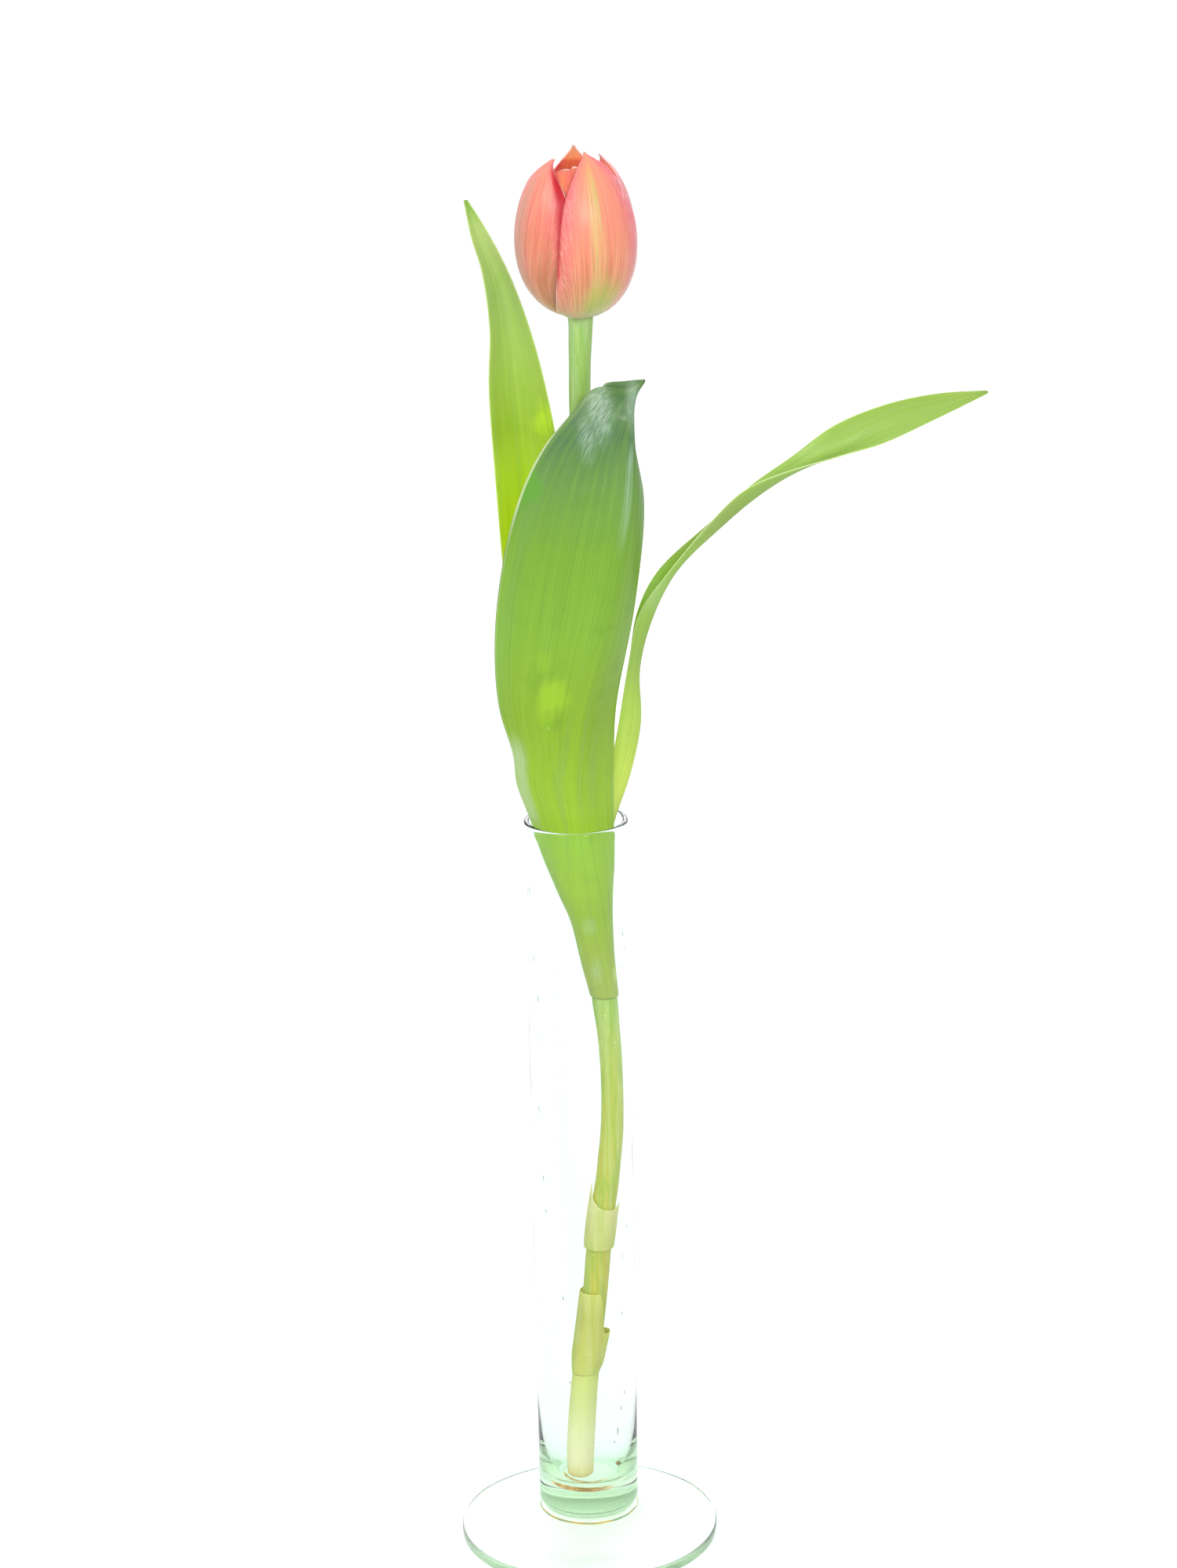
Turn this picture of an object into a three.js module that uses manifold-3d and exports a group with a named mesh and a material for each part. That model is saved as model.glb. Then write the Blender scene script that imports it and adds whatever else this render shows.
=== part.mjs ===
// Double tulip, one closed bloom on a long stem with three leaves, in a tall glass vase.
// Millimetres, +Z up. The origin is the centre of the foot's underside, +X is to the right
// and +Y goes away from the viewer.
import * as THREE from "three";
import { mergeVertices } from "three/addons/utils/BufferGeometryUtils.js";
import Module from "manifold-3d";

const wasm = await Module();
wasm.setup();

// Driving sizes of the vase.
const VASE_HEIGHT = 288;
const TUBE_RADIUS = 19;
const WALL = 1.8;
const FOOT_RADIUS = 49;
const FOOT_EDGE = 2.2;
const BEAD_RADIUS = 1.15;
const FLOOR_HEIGHT = 22;
const WAIST_RADIUS = 16.9;
const VASE_SIDES = 40;

// Driving sizes of the plant.
const SEAT_GAP = 0.3;
const STEM_SIDES = 14;
const STEM_ROWS = 44;
const LEAF_THICK = 0.9;
const MARGIN_THICK = 0.6;
const PETAL_THICK = 0.7;

// Driving sizes of the bloom, an egg whose widest ring lies EGG_LOWER above its base.
const BLOOM_BASE = 473.5;
const BLOOM_X = 5.1;
const BLOOM_LEAN = -2;
const EGG_RADIUS = 21.9;
const EGG_LOWER = 27;
const EGG_UPPER = 34;
const EGG_FULL = 0.85;
const EGG_SLIM = 1.12;
const PETAL_FOOT_RADIUS = 5.35;

const degrees = THREE.MathUtils.degToRad;
const smooth = THREE.MathUtils.smoothstep;
const vector = (p) => new THREE.Vector3(p[0], p[1], p[2]);
const curve = (points) => new THREE.CatmullRomCurve3(points.map(vector), false, "centripetal");

const paint = (color, roughness) =>
  new THREE.MeshStandardMaterial({ color, roughness, metalness: 0 });
const MATERIALS = {
  glass: paint(0xcfe6da, 0.05),
  stem: paint(0xa9c766, 0.45),
  leaf: paint(0x7fb544, 0.4),
  sheath: paint(0xd3dc9a, 0.6),
  petal: paint(0xf08a72, 0.5),
  innerPetal: paint(0xf29a5c, 0.5),
  pistil: paint(0xc6d68a, 0.5),
  stamen: paint(0xd9c46a, 0.7),
};

const part = new THREE.Group();

function add(name, geometry, material, parent = part) {
  const mesh = new THREE.Mesh(geometry, material);
  mesh.name = name;
  parent.add(mesh);
}

// A closed sheet of a given thickness on a grid of middle points, one row after another.
// A sheet that wraps is joined to itself from its last column to its first.
function sheet(grid, thicknessAt, wraps = false) {
  const rows = grid.length;
  const columns = grid[0].length;
  const column = (j) => (wraps ? (j + columns) % columns : Math.min(Math.max(j, 0), columns - 1));
  const row = (i) => Math.min(Math.max(i, 0), rows - 1);
  const places = [];
  for (const side of [1, -1]) {
    for (let i = 0; i < rows; i++) {
      for (let j = 0; j < columns; j++) {
        const along = grid[row(i + 1)][j].clone().sub(grid[row(i - 1)][j]);
        const across = grid[i][column(j + 1)].clone().sub(grid[i][column(j - 1)]);
        const normal = along.cross(across).normalize();
        const shift = (side * thicknessAt(i / (rows - 1), j / (columns - 1))) / 2;
        places.push(...grid[i][j].clone().addScaledVector(normal, shift).toArray());
      }
    }
  }
  const front = (i, j) => i * columns + column(j);
  const back = (i, j) => rows * columns + front(i, j);
  const faces = [];
  const cells = wraps ? columns : columns - 1;
  for (let i = 0; i + 1 < rows; i++) {
    for (let j = 0; j < cells; j++) {
      faces.push(front(i, j), front(i + 1, j), front(i + 1, j + 1));
      faces.push(front(i, j), front(i + 1, j + 1), front(i, j + 1));
      faces.push(back(i, j), back(i + 1, j + 1), back(i + 1, j));
      faces.push(back(i, j), back(i, j + 1), back(i + 1, j + 1));
    }
  }
  const close = (p, q) => {
    faces.push(front(...q), front(...p), back(...p));
    faces.push(front(...q), back(...p), back(...q));
  };
  for (let j = 0; j < cells; j++) {
    close([rows - 1, j], [rows - 1, j + 1]);
    close([0, j + 1], [0, j]);
  }
  for (let i = 0; !wraps && i + 1 < rows; i++) {
    close([i, 0], [i + 1, 0]);
    close([i + 1, columns - 1], [i, columns - 1]);
  }
  const geometry = new THREE.BufferGeometry();
  geometry.setAttribute("position", new THREE.Float32BufferAttribute(places, 3));
  geometry.setIndex(faces);
  return geometry;
}

// A solid of level rings from the bottom up, each given as centre x, y, z and radius.
// Lobes raise that many soft ridges round each ring.
function column(levels, sides, lobes = 0, ridge = 0) {
  const places = [];
  for (const [x, y, z, radius] of levels) {
    for (let j = 0; j < sides; j++) {
      const turn = (2 * Math.PI * j) / sides;
      const reach = radius * (1 + ridge * Math.cos(lobes * turn));
      places.push(x + reach * Math.cos(turn), y + reach * Math.sin(turn), z);
    }
  }
  const faces = [];
  const at = (i, j) => i * sides + (j % sides);
  for (let i = 0; i + 1 < levels.length; i++) {
    for (let j = 0; j < sides; j++) {
      faces.push(at(i, j), at(i, j + 1), at(i + 1, j + 1));
      faces.push(at(i, j), at(i + 1, j + 1), at(i + 1, j));
    }
  }
  const last = levels.length - 1;
  for (let j = 1; j + 1 < sides; j++) {
    faces.push(at(0, 0), at(0, j + 1), at(0, j));
    faces.push(at(last, 0), at(last, j), at(last, j + 1));
  }
  const geometry = new THREE.BufferGeometry();
  geometry.setAttribute("position", new THREE.Float32BufferAttribute(places, 3));
  geometry.setIndex(faces);
  return geometry;
}

// Vase: a disc foot that rises a little to its middle, a waist, a thick solid base and a
// thin straight tube with a fire-polished bead round its mouth.
function arc(x, z, radius, from, to, steps) {
  const points = [];
  for (let k = 0; k <= steps; k++) {
    const turn = degrees(from + ((to - from) * k) / steps);
    points.push(new THREE.Vector2(x + radius * Math.cos(turn), z + radius * Math.sin(turn)));
  }
  return points;
}

function vase() {
  const inner = TUBE_RADIUS - WALL;
  const footTop = 2 * FOOT_EDGE;
  const baseEdge = 3.5;
  const baseHeight = 17.5;
  const beadHeight = VASE_HEIGHT - BEAD_RADIUS;
  const point = (x, z) => new THREE.Vector2(x, z);
  const outline = [
    point(0, 0),
    ...arc(FOOT_RADIUS - FOOT_EDGE, FOOT_EDGE, FOOT_EDGE, -90, 80, 5),
    point(TUBE_RADIUS + 15, footTop + 1.1),
    point(TUBE_RADIUS + 5, footTop + 2.6),
    point(TUBE_RADIUS + 1.2, footTop + 4),
    point(TUBE_RADIUS - 0.4, footTop + 5.3),
    point(WAIST_RADIUS, footTop + 7.2),
    ...arc(TUBE_RADIUS - baseEdge, baseHeight, baseEdge, -60, 0, 3),
    point(TUBE_RADIUS, 150),
    point(TUBE_RADIUS, beadHeight - 2.5),
    ...arc(TUBE_RADIUS - BEAD_RADIUS + 0.2, beadHeight, BEAD_RADIUS, 0, 180, 6),
    point(inner, beadHeight - 2.5),
    point(inner, 150),
    point(inner, 58),
    point(inner - 0.4, 44),
    point(inner - 1.2, 34),
    point(inner - 2.6, 27),
    point(inner - 5, FLOOR_HEIGHT + 1.2),
    point(inner - 7.6, FLOOR_HEIGHT),
    point(0, FLOOR_HEIGHT),
  ];
  return new THREE.LatheGeometry(outline, VASE_SIDES).rotateX(Math.PI / 2);
}

// Stem: centre x, y, z and radius from the cut end up to the top of the receptacle.
// The pale thick lower part grew underground, and the stem swells at the lowest leaf's node.
const STEM = [
  [-3.4, 0, FLOOR_HEIGHT + SEAT_GAP, 5.3],
  [-3.1, 0, 32, 5.45],
  [-2.0, 0, 49, 5.35],
  [-0.6, 0, 65, 5.1],
  [1.6, 0.2, 82, 4.85],
  [3.9, 0.3, 101, 4.75],
  [5.8, 0.6, 121, 4.7],
  [7.3, 0.8, 133, 4.6],
  [8.9, 1, 143, 4.5],
  [10.1, 1, 153, 4.4],
  [11.3, 1, 165, 4.35],
  [11.7, 1, 178, 4.25],
  [11.5, 1, 192, 4.25],
  [10.7, 1, 204.5, 4.35],
  [9.9, 1, 213, 4.7],
  [9.5, 1, 217, 4.85],
  [9.1, 1, 222, 4.5],
  [7.8, 1, 234, 4.1],
  [6.8, 1, 248, 4.05],
  [6.3, 1, 270, 4.05],
  [6.0, 1, 300, 4.15],
  [5.5, 0.8, 350, 4.05],
  [4.8, 0.4, 400, 3.95],
  [4.4, 0.1, 447, 3.85],
  [4.7, 0, 460, 3.95],
  [5.1, 0, 471, 4.3],
  [5.1, 0, 475, 4.5],
  [4.9, 0, 482, 4.5],
  [4.8, 0, 485, 3.9],
  [4.75, 0, 486, 3.2],
];
const stemLine = curve(STEM);
const stemGirth = curve(STEM.map((level) => [level[3], 0, level[2]]));
const stemLevels = Array.from({ length: STEM_ROWS + 1 }, (_, i) => {
  const centre = stemLine.getPoint(i / STEM_ROWS);
  return [centre.x, centre.y, centre.z, stemGirth.getPoint(i / STEM_ROWS).x];
});

// The stem's centre and radius at a height.
function stemAt(z) {
  const upper = Math.max(1, stemLevels.findIndex((level) => level[2] >= z));
  const [low, high] = [stemLevels[upper - 1], stemLevels[upper]];
  const share = (z - low[2]) / (high[2] - low[2]);
  return low.map((value, k) => THREE.MathUtils.lerp(value, high[k], share));
}

// A point round the stem, with the bearing in degrees from the viewer's side towards +X.
function roundStem(z, bearing, radius) {
  const [x, y] = stemAt(z);
  const turn = degrees(bearing);
  return [x + radius * Math.sin(turn), y - radius * Math.cos(turn), z];
}

// The left margin, midrib and right margin where a leaf's base clasps the stem.
function clasp(z, facing, wrap, radius) {
  return [-wrap, 0, wrap].map((turn) => roundStem(z, facing + turn, radius));
}

// Leaves: each row of points is a left margin, a midrib and a right margin.
const LEAF_FRONT = [
  clasp(219, 0, 150, 5.75),
  [[2, 4.2, 233], [7, -5.4, 233], [12.2, 4.2, 233]],
  [[-1.8, 2.8, 249], [4.6, -7.2, 247], [12.3, 2.4, 249]],
  [[-7, 1, 260], [2.6, -9.6, 260], [13, 1, 260]],
  [[-11.5, -1, 271.5], [1.5, -11.2, 274.5], [13.8, -1.5, 271]],
  [[-15.5, -2.5, 287], [0.5, -13, 289.5], [14, -2.2, 287]],
  [[-21, -4, 302], [-1, -15, 306], [14, -3, 301.5]],
  [[-27, -7, 333.5], [2.5, -19, 336.5], [15.5, -4, 332]],
  [[-27, -9, 370.5], [10.5, -21, 373], [22.5, -7, 369]],
  [[-19.5, -11, 407], [19, -21, 409], [26.5, -9, 405.5]],
  [[-9.5, -13, 429], [19.5, -20, 425.5], [25, -9, 418.5]],
  [[0.5, -14, 441.5], [20.5, -18, 437.5], [21.5, -11, 431]],
  [[9.5, -13, 451.5], [22, -15.5, 444], [21.8, -11, 440]],
  [[20.5, -12, 452], [24.5, -12.5, 448.5], [24, -10.5, 447]],
  [[27, -10.5, 453], [27.5, -10, 452.5], [27.5, -9.5, 452]],
];
const LEAF_LEFT = [
  clasp(256, -140, -140, 5.2),
  clasp(272, -140, -105, 6.9),
  [[-6, 0, 290], [-2.5, 9.5, 290], [8.5, 10, 290]],
  [[-13, 3, 315], [-8.5, 13, 315], [4, 10, 315]],
  [[-21.5, 5, 350], [-14, 16, 350], [0, 9, 350]],
  [[-25, 7, 385], [-14.5, 17, 382], [-2, 9, 384]],
  [[-27, 8, 417], [-15, 16, 415], [-3, 9, 416.5]],
  [[-28, 8, 446.5], [-17.5, 15, 444], [-7.5, 9, 446]],
  [[-27, 8, 468.5], [-20, 14, 467], [-12.5, 9, 468]],
  [[-29.5, 8, 488.5], [-24, 12, 487], [-19, 8, 487]],
  [[-33, 8, 501], [-30, 10, 501.5], [-26.5, 8, 502]],
  [[-35, 8, 514.5], [-34.5, 8.3, 514.5], [-34, 8, 514.5]],
];
const LEAF_RIGHT = [
  clasp(270, 80, 135, 5.2),
  clasp(277, 82, 95, 5.9),
  [[9.2, -4.6, 285], [13.4, 0.8, 285], [11, 6.8, 286]],
  [[12.4, 0.4, 304], [20, 3.5, 304], [17, 9, 305]],
  [[16, -1, 323.5], [24, 2, 324], [19.5, 8, 323.5]],
  [[20, -3, 347.5], [24, 2.5, 344], [20.5, 8, 344.5]],
  [[24, -4, 365.5], [29, 1, 363.5], [23.5, 6, 364]],
  [[33.5, -5, 380], [38, 0, 381], [31, 5.5, 379]],
  [[49.5, -5, 399], [53.8, 0.5, 396.5], [50, 5.5, 397]],
  [[63, -5, 411.5], [67, 1, 407.5], [64, 6, 409.5]],
  [[80, -4.5, 418.5], [80.3, 1, 416], [79, 6, 420]],
  [[97, -3.5, 422.5], [97.5, 1.5, 424], [94.5, 4.5, 432]],
  [[111, -2, 426], [113.5, 1.5, 433], [114, 3, 440]],
  [[130, -1, 434.5], [131.5, 1, 439], [131.5, 2, 443.5]],
  [[149, -0.4, 443.5], [149.2, 0, 444], [149, 0.4, 444.5]],
];

// A point across a leaf, on the circle through its margins and midrib.
function roundAcross(left, mid, right, s) {
  const centre = new THREE.Vector3();
  const plane = new THREE.Triangle(left, mid, right);
  const ab = mid.clone().sub(left);
  const ac = right.clone().sub(left);
  const normal = plane.getNormal(new THREE.Vector3());
  const twice = 2 * ab.clone().cross(ac).lengthSq();
  const reach = ab.clone().cross(ac).cross(ab).multiplyScalar(ac.lengthSq());
  reach.add(ac.clone().cross(ab.clone().cross(ac)).multiplyScalar(ab.lengthSq()));
  centre.copy(left).addScaledVector(reach, 1 / twice);
  const arm = mid.clone().sub(centre);
  const margin = (s < 0 ? left : right).clone().sub(centre);
  const facing = Math.atan2(arm.clone().cross(margin).dot(normal), arm.dot(margin));
  const full = s > 0 && facing < 0 ? facing + 2 * Math.PI : facing;
  const turn = s < 0 && facing > 0 ? facing - 2 * Math.PI : full;
  return arm.applyAxisAngle(normal, turn * Math.abs(s)).add(centre);
}

// A point across a leaf, on two bends that meet smoothly at its midrib.
function keeledAcross(left, mid, right, s) {
  const toLeft = left.clone().sub(mid);
  const toRight = right.clone().sub(mid);
  const level = toRight.clone().normalize().sub(toLeft.clone().normalize()).normalize();
  const margin = s < 0 ? left : right;
  const reach = 0.5 * Math.sign(s) * (s < 0 ? toLeft : toRight).length();
  const bend = mid.clone().addScaledVector(level, reach);
  return new THREE.QuadraticBezierCurve3(mid, bend, margin).getPoint(Math.abs(s));
}

function leaf(stations, rows, columns, keeledFrom) {
  const rails = [0, 1, 2].map((k) => curve(stations.map((station) => station[k])));
  const grid = [];
  for (let i = 0; i <= rows; i++) {
    const [left, mid, right] = rails.map((rail) => rail.getPoint(i / rows));
    const keel = smooth(i / rows, keeledFrom, keeledFrom + 0.15);
    const line = [];
    for (let j = 0; j <= columns; j++) {
      const s = (2 * j) / columns - 1;
      const keeled = keeledAcross(left, mid, right, s);
      line.push(keel < 1 ? roundAcross(left, mid, right, s).lerp(keeled, keel) : keeled);
    }
    grid.push(line);
  }
  const thickness = (t, s) =>
    THREE.MathUtils.lerp(LEAF_THICK, MARGIN_THICK, Math.max(Math.abs(2 * s - 1) ** 2, t ** 6));
  return sheet(grid, thickness);
}

// Old sheaths on the lower stem: a thin scale on the viewer's side and a torn collar.
function scale() {
  const bottom = 118;
  const rows = 6;
  const columns = 10;
  const grid = [];
  for (let i = 0; i <= rows; i++) {
    const line = [];
    for (let j = 0; j <= columns; j++) {
      const bearing = THREE.MathUtils.lerp(-105, 95, j / columns);
      const top = THREE.MathUtils.lerp(144, 136, j / columns) - 5 * Math.sin((Math.PI * j) / columns);
      const z = THREE.MathUtils.lerp(bottom, top, i / rows);
      const puff = 0.35 * Math.sin((Math.PI * i) / rows);
      line.push(vector(roundStem(z, bearing, stemAt(z)[3] + 0.75 + puff)));
    }
    grid.push(line);
  }
  return sheet(grid, () => MARGIN_THICK);
}

function collar() {
  const bottom = 67;
  const top = 100.5;
  const torn = 17;
  const rows = 6;
  const columns = 16;
  const grid = [];
  for (let i = 0; i <= rows; i++) {
    const line = [];
    for (let j = 0; j < columns; j++) {
      const bearing = (360 * j) / columns - 150;
      const gone = smooth(bearing, 25, 60) - smooth(bearing, 110, 200);
      const z = THREE.MathUtils.lerp(bottom, top - torn * gone, i / rows);
      const puff = 0.25 * Math.sin(3 * degrees(bearing)) ** 2;
      line.push(vector(roundStem(z, bearing, stemAt(z)[3] + 0.8 + puff)));
    }
    grid.push(line);
  }
  return sheet(grid, () => MARGIN_THICK, true);
}

// Petals, from the outermost in. Facing and tip are bearings from the viewer's side, left and
// right are half widths, depth is how far the petal lies inside the egg, a tuck takes a margin
// under its neighbour, and sink does so at its base.
const OUTER_PETALS = [
  { name: "petal_outer_right", facing: 22, tip: 28, left: 15, right: 24, depth: 0.5, top: 73.5 },
  { name: "petal_outer_left", facing: -72, tip: -52, left: 23, right: 22, depth: 0.5, top: 66,
    tuckRight: 1.2, sink: 1.2 },
  { name: "petal_outer_back", facing: 134, tip: 131, left: 23, right: 22, depth: 0.5, top: 60,
    tuckLeft: 1.3, sink: 2.4 },
];
const INNER_PETALS = [
  { name: "petal_inner_front", facing: -25, tip: -22, left: 17, right: 16, depth: 3.1, top: 62,
    sink: 2.2, spread: 44, point: 0.6 },
  { name: "petal_inner_right", facing: 78, tip: 78, left: 16, right: 16, depth: 3.1, top: 58,
    sink: 2.2, spread: 44, point: 0.8 },
  { name: "petal_inner_back", facing: 188, tip: 185, left: 17, right: 18, depth: 3.1, top: 72,
    sink: 2.2, spread: 44, lift: 3, point: 1 },
];
const CORE_PETALS = [-85, 35, 155, -25, 95, 215].map((facing, k) => ({
  name: `petal_core_${k + 1}`, facing, tip: facing, left: 13, right: 13, spread: 44,
  depth: k < 3 ? 4.6 : 6.1, sink: k < 3 ? 2 : 1.8, top: k < 3 ? 58 : 52, point: 0.8,
}));

// A petal's half width at a share of its length, as a share of its greatest half width.
function petalShape(v, point) {
  const widest = 0.38;
  if (v < widest) return 1 - 0.3 * ((widest - v) / widest) ** 2;
  return (1 - ((v - widest) / (1 - widest)) ** 3) ** point;
}

// The egg's girth at a latitude as a share of its greatest: full below and slim above.
function girth(latitude) {
  return Math.cos(latitude) ** (latitude < 0 ? EGG_FULL : EGG_SLIM);
}

function petal(form, rows, columns) {
  const { facing, tip, left, right, depth, top, tuckLeft = 0, tuckRight = 0 } = form;
  const { sink = 0, lift = 0, spread = 56, point = 1.7 } = form;
  const narrow = 0.5;
  const deepest = depth + sink + Math.max(tuckLeft, tuckRight);
  const foot = -Math.acos((PETAL_FOOT_RADIUS / (EGG_RADIUS - deepest)) ** (1 / EGG_FULL));
  const grid = [];
  for (let i = 0; i <= rows; i++) {
    const v = i / rows;
    const latitude = THREE.MathUtils.lerp(foot, degrees(top), v);
    const line = [];
    for (let j = 0; j <= columns; j++) {
      const s = (2 * j) / columns - 1;
      const width = Math.max(narrow, (s < 0 ? left : right) * petalShape(v, point));
      const ring = EGG_RADIUS * girth(latitude);
      const turn = Math.min(THREE.MathUtils.radToDeg(width / ring), spread + 30 * v) * s;
      const bearing = degrees(facing + (tip - facing) * v ** 3 + turn);
      const under = (turn < 0 ? tuckLeft : tuckRight) * smooth(Math.abs(turn), 18, 38);
      const inset = depth + under + sink * (1 - smooth(v, 0.05, 0.4));
      const reach = (EGG_RADIUS - inset) * girth(latitude);
      const rise = (latitude < 0 ? EGG_LOWER : EGG_UPPER) - inset;
      const z = EGG_LOWER + rise * Math.sin(latitude) + lift * v ** 6;
      line.push(new THREE.Vector3(reach * Math.sin(bearing), -reach * Math.cos(bearing), z));
    }
    grid.push(line);
  }
  return sheet(grid, () => PETAL_THICK);
}

// Pistil and stamens, in the bloom's own frame.
const RECEPTACLE_TOP = 12.6;

function pistil() {
  const levels = [[0, 2.9], [3, 3.3], [12, 3.1], [16, 2.5], [17.5, 3.6], [20, 3.4], [21, 1.8]];
  const base = RECEPTACLE_TOP + SEAT_GAP;
  return column(levels.map(([z, radius]) => [0, 0, base + z, radius]), 12, 3, 0.1);
}

function solid(geometry) {
  const bare = geometry.clone();
  bare.deleteAttribute("normal");
  bare.deleteAttribute("uv");
  const merged = mergeVertices(bare, 1e-3);
  return new wasm.Manifold(new wasm.Mesh({
    numProp: 3,
    vertProperties: new Float32Array(merged.attributes.position.array),
    triVerts: new Uint32Array(merged.index.array),
  }));
}

function stamens() {
  const bottom = 10.3;
  const ring = new THREE.LatheGeometry([
    new THREE.Vector2(4.85, bottom),
    new THREE.Vector2(6, bottom),
    new THREE.Vector2(6, bottom + 1.2),
    new THREE.Vector2(4.85, bottom + 1.2),
    new THREE.Vector2(4.85, bottom),
  ], 18).rotateX(Math.PI / 2);
  const pieces = [solid(ring)];
  for (let k = 0; k < 6; k++) {
    const turn = degrees(60 * k + 30);
    const levels = [[0.3, 5.4, 0.5], [8, 5.9, 0.45], [9, 6, 0.9], [17, 6.3, 0.9], [18, 6.3, 0.4]];
    pieces.push(solid(column(
      levels.map(([z, out, radius]) => [out * Math.cos(turn), out * Math.sin(turn), bottom + z, radius]),
      6,
    )));
  }
  const mesh = wasm.Manifold.union(pieces).getMesh();
  const geometry = new THREE.BufferGeometry();
  geometry.setAttribute("position", new THREE.Float32BufferAttribute(mesh.vertProperties, 3));
  geometry.setIndex(Array.from(mesh.triVerts));
  return geometry;
}

add("vase", vase(), MATERIALS.glass);
add("stem", column(stemLevels, STEM_SIDES), MATERIALS.stem);
add("leaf_front", leaf(LEAF_FRONT, 26, 8, 0.2), MATERIALS.leaf);
add("leaf_left", leaf(LEAF_LEFT, 20, 6, 0.15), MATERIALS.leaf);
add("leaf_right", leaf(LEAF_RIGHT, 28, 6, 0.12), MATERIALS.leaf);
add("stem_scale", scale(), MATERIALS.sheath);
add("stem_collar", collar(), MATERIALS.sheath);

const bloom = new THREE.Group();
bloom.position.set(BLOOM_X, 0, BLOOM_BASE);
bloom.rotation.y = degrees(BLOOM_LEAN);
part.add(bloom);
for (const form of OUTER_PETALS) add(form.name, petal(form, 12, 8), MATERIALS.petal, bloom);
for (const form of INNER_PETALS) add(form.name, petal(form, 10, 6), MATERIALS.innerPetal, bloom);
for (const form of CORE_PETALS) add(form.name, petal(form, 7, 4), MATERIALS.innerPetal, bloom);
add("pistil", pistil(), MATERIALS.pistil, bloom);
add("stamens", stamens(), MATERIALS.stamen, bloom);

export default part;
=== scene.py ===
import math
import random

import bpy
import numpy as np
from mathutils import Matrix, Vector, noise


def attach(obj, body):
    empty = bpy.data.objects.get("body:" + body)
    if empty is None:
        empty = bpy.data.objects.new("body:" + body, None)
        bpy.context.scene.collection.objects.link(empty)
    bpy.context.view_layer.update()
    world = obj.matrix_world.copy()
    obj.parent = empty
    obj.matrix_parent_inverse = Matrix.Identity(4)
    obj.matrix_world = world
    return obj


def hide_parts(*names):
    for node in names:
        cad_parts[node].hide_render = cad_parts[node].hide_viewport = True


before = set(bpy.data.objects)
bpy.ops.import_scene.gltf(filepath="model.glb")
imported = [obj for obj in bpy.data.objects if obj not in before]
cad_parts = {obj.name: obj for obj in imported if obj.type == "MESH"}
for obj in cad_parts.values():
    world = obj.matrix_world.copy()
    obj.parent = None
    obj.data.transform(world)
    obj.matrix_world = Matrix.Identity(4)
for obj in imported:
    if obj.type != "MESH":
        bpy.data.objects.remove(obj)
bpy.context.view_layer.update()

# Sizes are in millimetres, and MM turns them to metres. X is to the viewer's right, Y goes away
# from the viewer and Z is up. A bearing is in degrees, from the viewer's side towards +X.
MM = 0.001
CHANCE = random.Random(7)

# The vase.
VASE_HEIGHT = 288
TUBE_RADIUS = 19
WALL = 1.8
FOOT_RADIUS = 49
FOOT_THICK = 4.4
FOOT_CORNER = 1.1
BEAD_RADIUS = 1.05
FLOOR_HEIGHT = 22
WAIST_RADIUS = 16.9
HEEL_RADIUS = 3.2
WALL_SWAY = 0.13

# The plant.
LEAF_THICK = 0.9
MARGIN_THICK = 0.55
PETAL_THICK = 0.7
PETAL_MARGIN = 0.5
SHEATH_THICK = 0.6
SHEATH_TOP_THICK = 0.42
KEEL_REACH = 0.3
UNROLLED = "across_along"

# The bloom, an egg whose widest ring lies EGG_LOWER above its base.
BLOOM_BASE = 473.5
BLOOM_X = 5.1
BLOOM_LEAN = math.radians(-2)
EGG_RADIUS = 21.9
EGG_LOWER = 27
EGG_UPPER = 34
EGG_FULL = 0.85
EGG_SLIM = 1.12
PETAL_FOOT_RADIUS = 5.35
PETAL_WIDEST = 0.38
RECEPTACLE_TOP = 12.6


def smooth(x, low, high):
    """A share that rises smoothly from 0 to 1 as x goes from low to high."""
    share = min(max((x - low) / (high - low), 0.0), 1.0)
    return share * share * (3 - 2 * share)


def blend(a, b, share):
    """The value a share of the way from a to b."""
    return a + (b - a) * share


def linear(colour):
    """An sRGB hex colour as linear red, green, blue and alpha."""
    shares = [int(colour[k:k + 2], 16) / 255 for k in (1, 3, 5)]
    return [c / 12.92 if c <= 0.04045 else ((c + 0.055) / 1.055) ** 2.4 for c in shares] + [1.0]


def spline(points, share):
    """A point on a smooth curve through the points, whose knots follow the root of their spacing."""
    place = share * (len(points) - 1)
    k = min(int(place), len(points) - 2)
    w = place - k
    b, c = np.array(points[k], float), np.array(points[k + 1], float)
    a = np.array(points[k - 1], float) if k else 2 * b - c
    d = np.array(points[k + 2], float) if k + 2 < len(points) else 2 * c - b
    first, middle, last = (max(np.linalg.norm(q - p), 1e-4) ** 0.5 for p, q in ((a, b), (b, c), (c, d)))
    leave = ((b - a) / first - (c - a) / (first + middle) + (c - b) / middle) * middle
    arrive = ((c - b) / middle - (d - b) / (middle + last) + (d - c) / last) * middle
    return b + leave * w + (3 * (c - b) - 2 * leave - arrive) * w * w + (
        2 * (b - c) + leave + arrive) * w ** 3


# Materials

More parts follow.
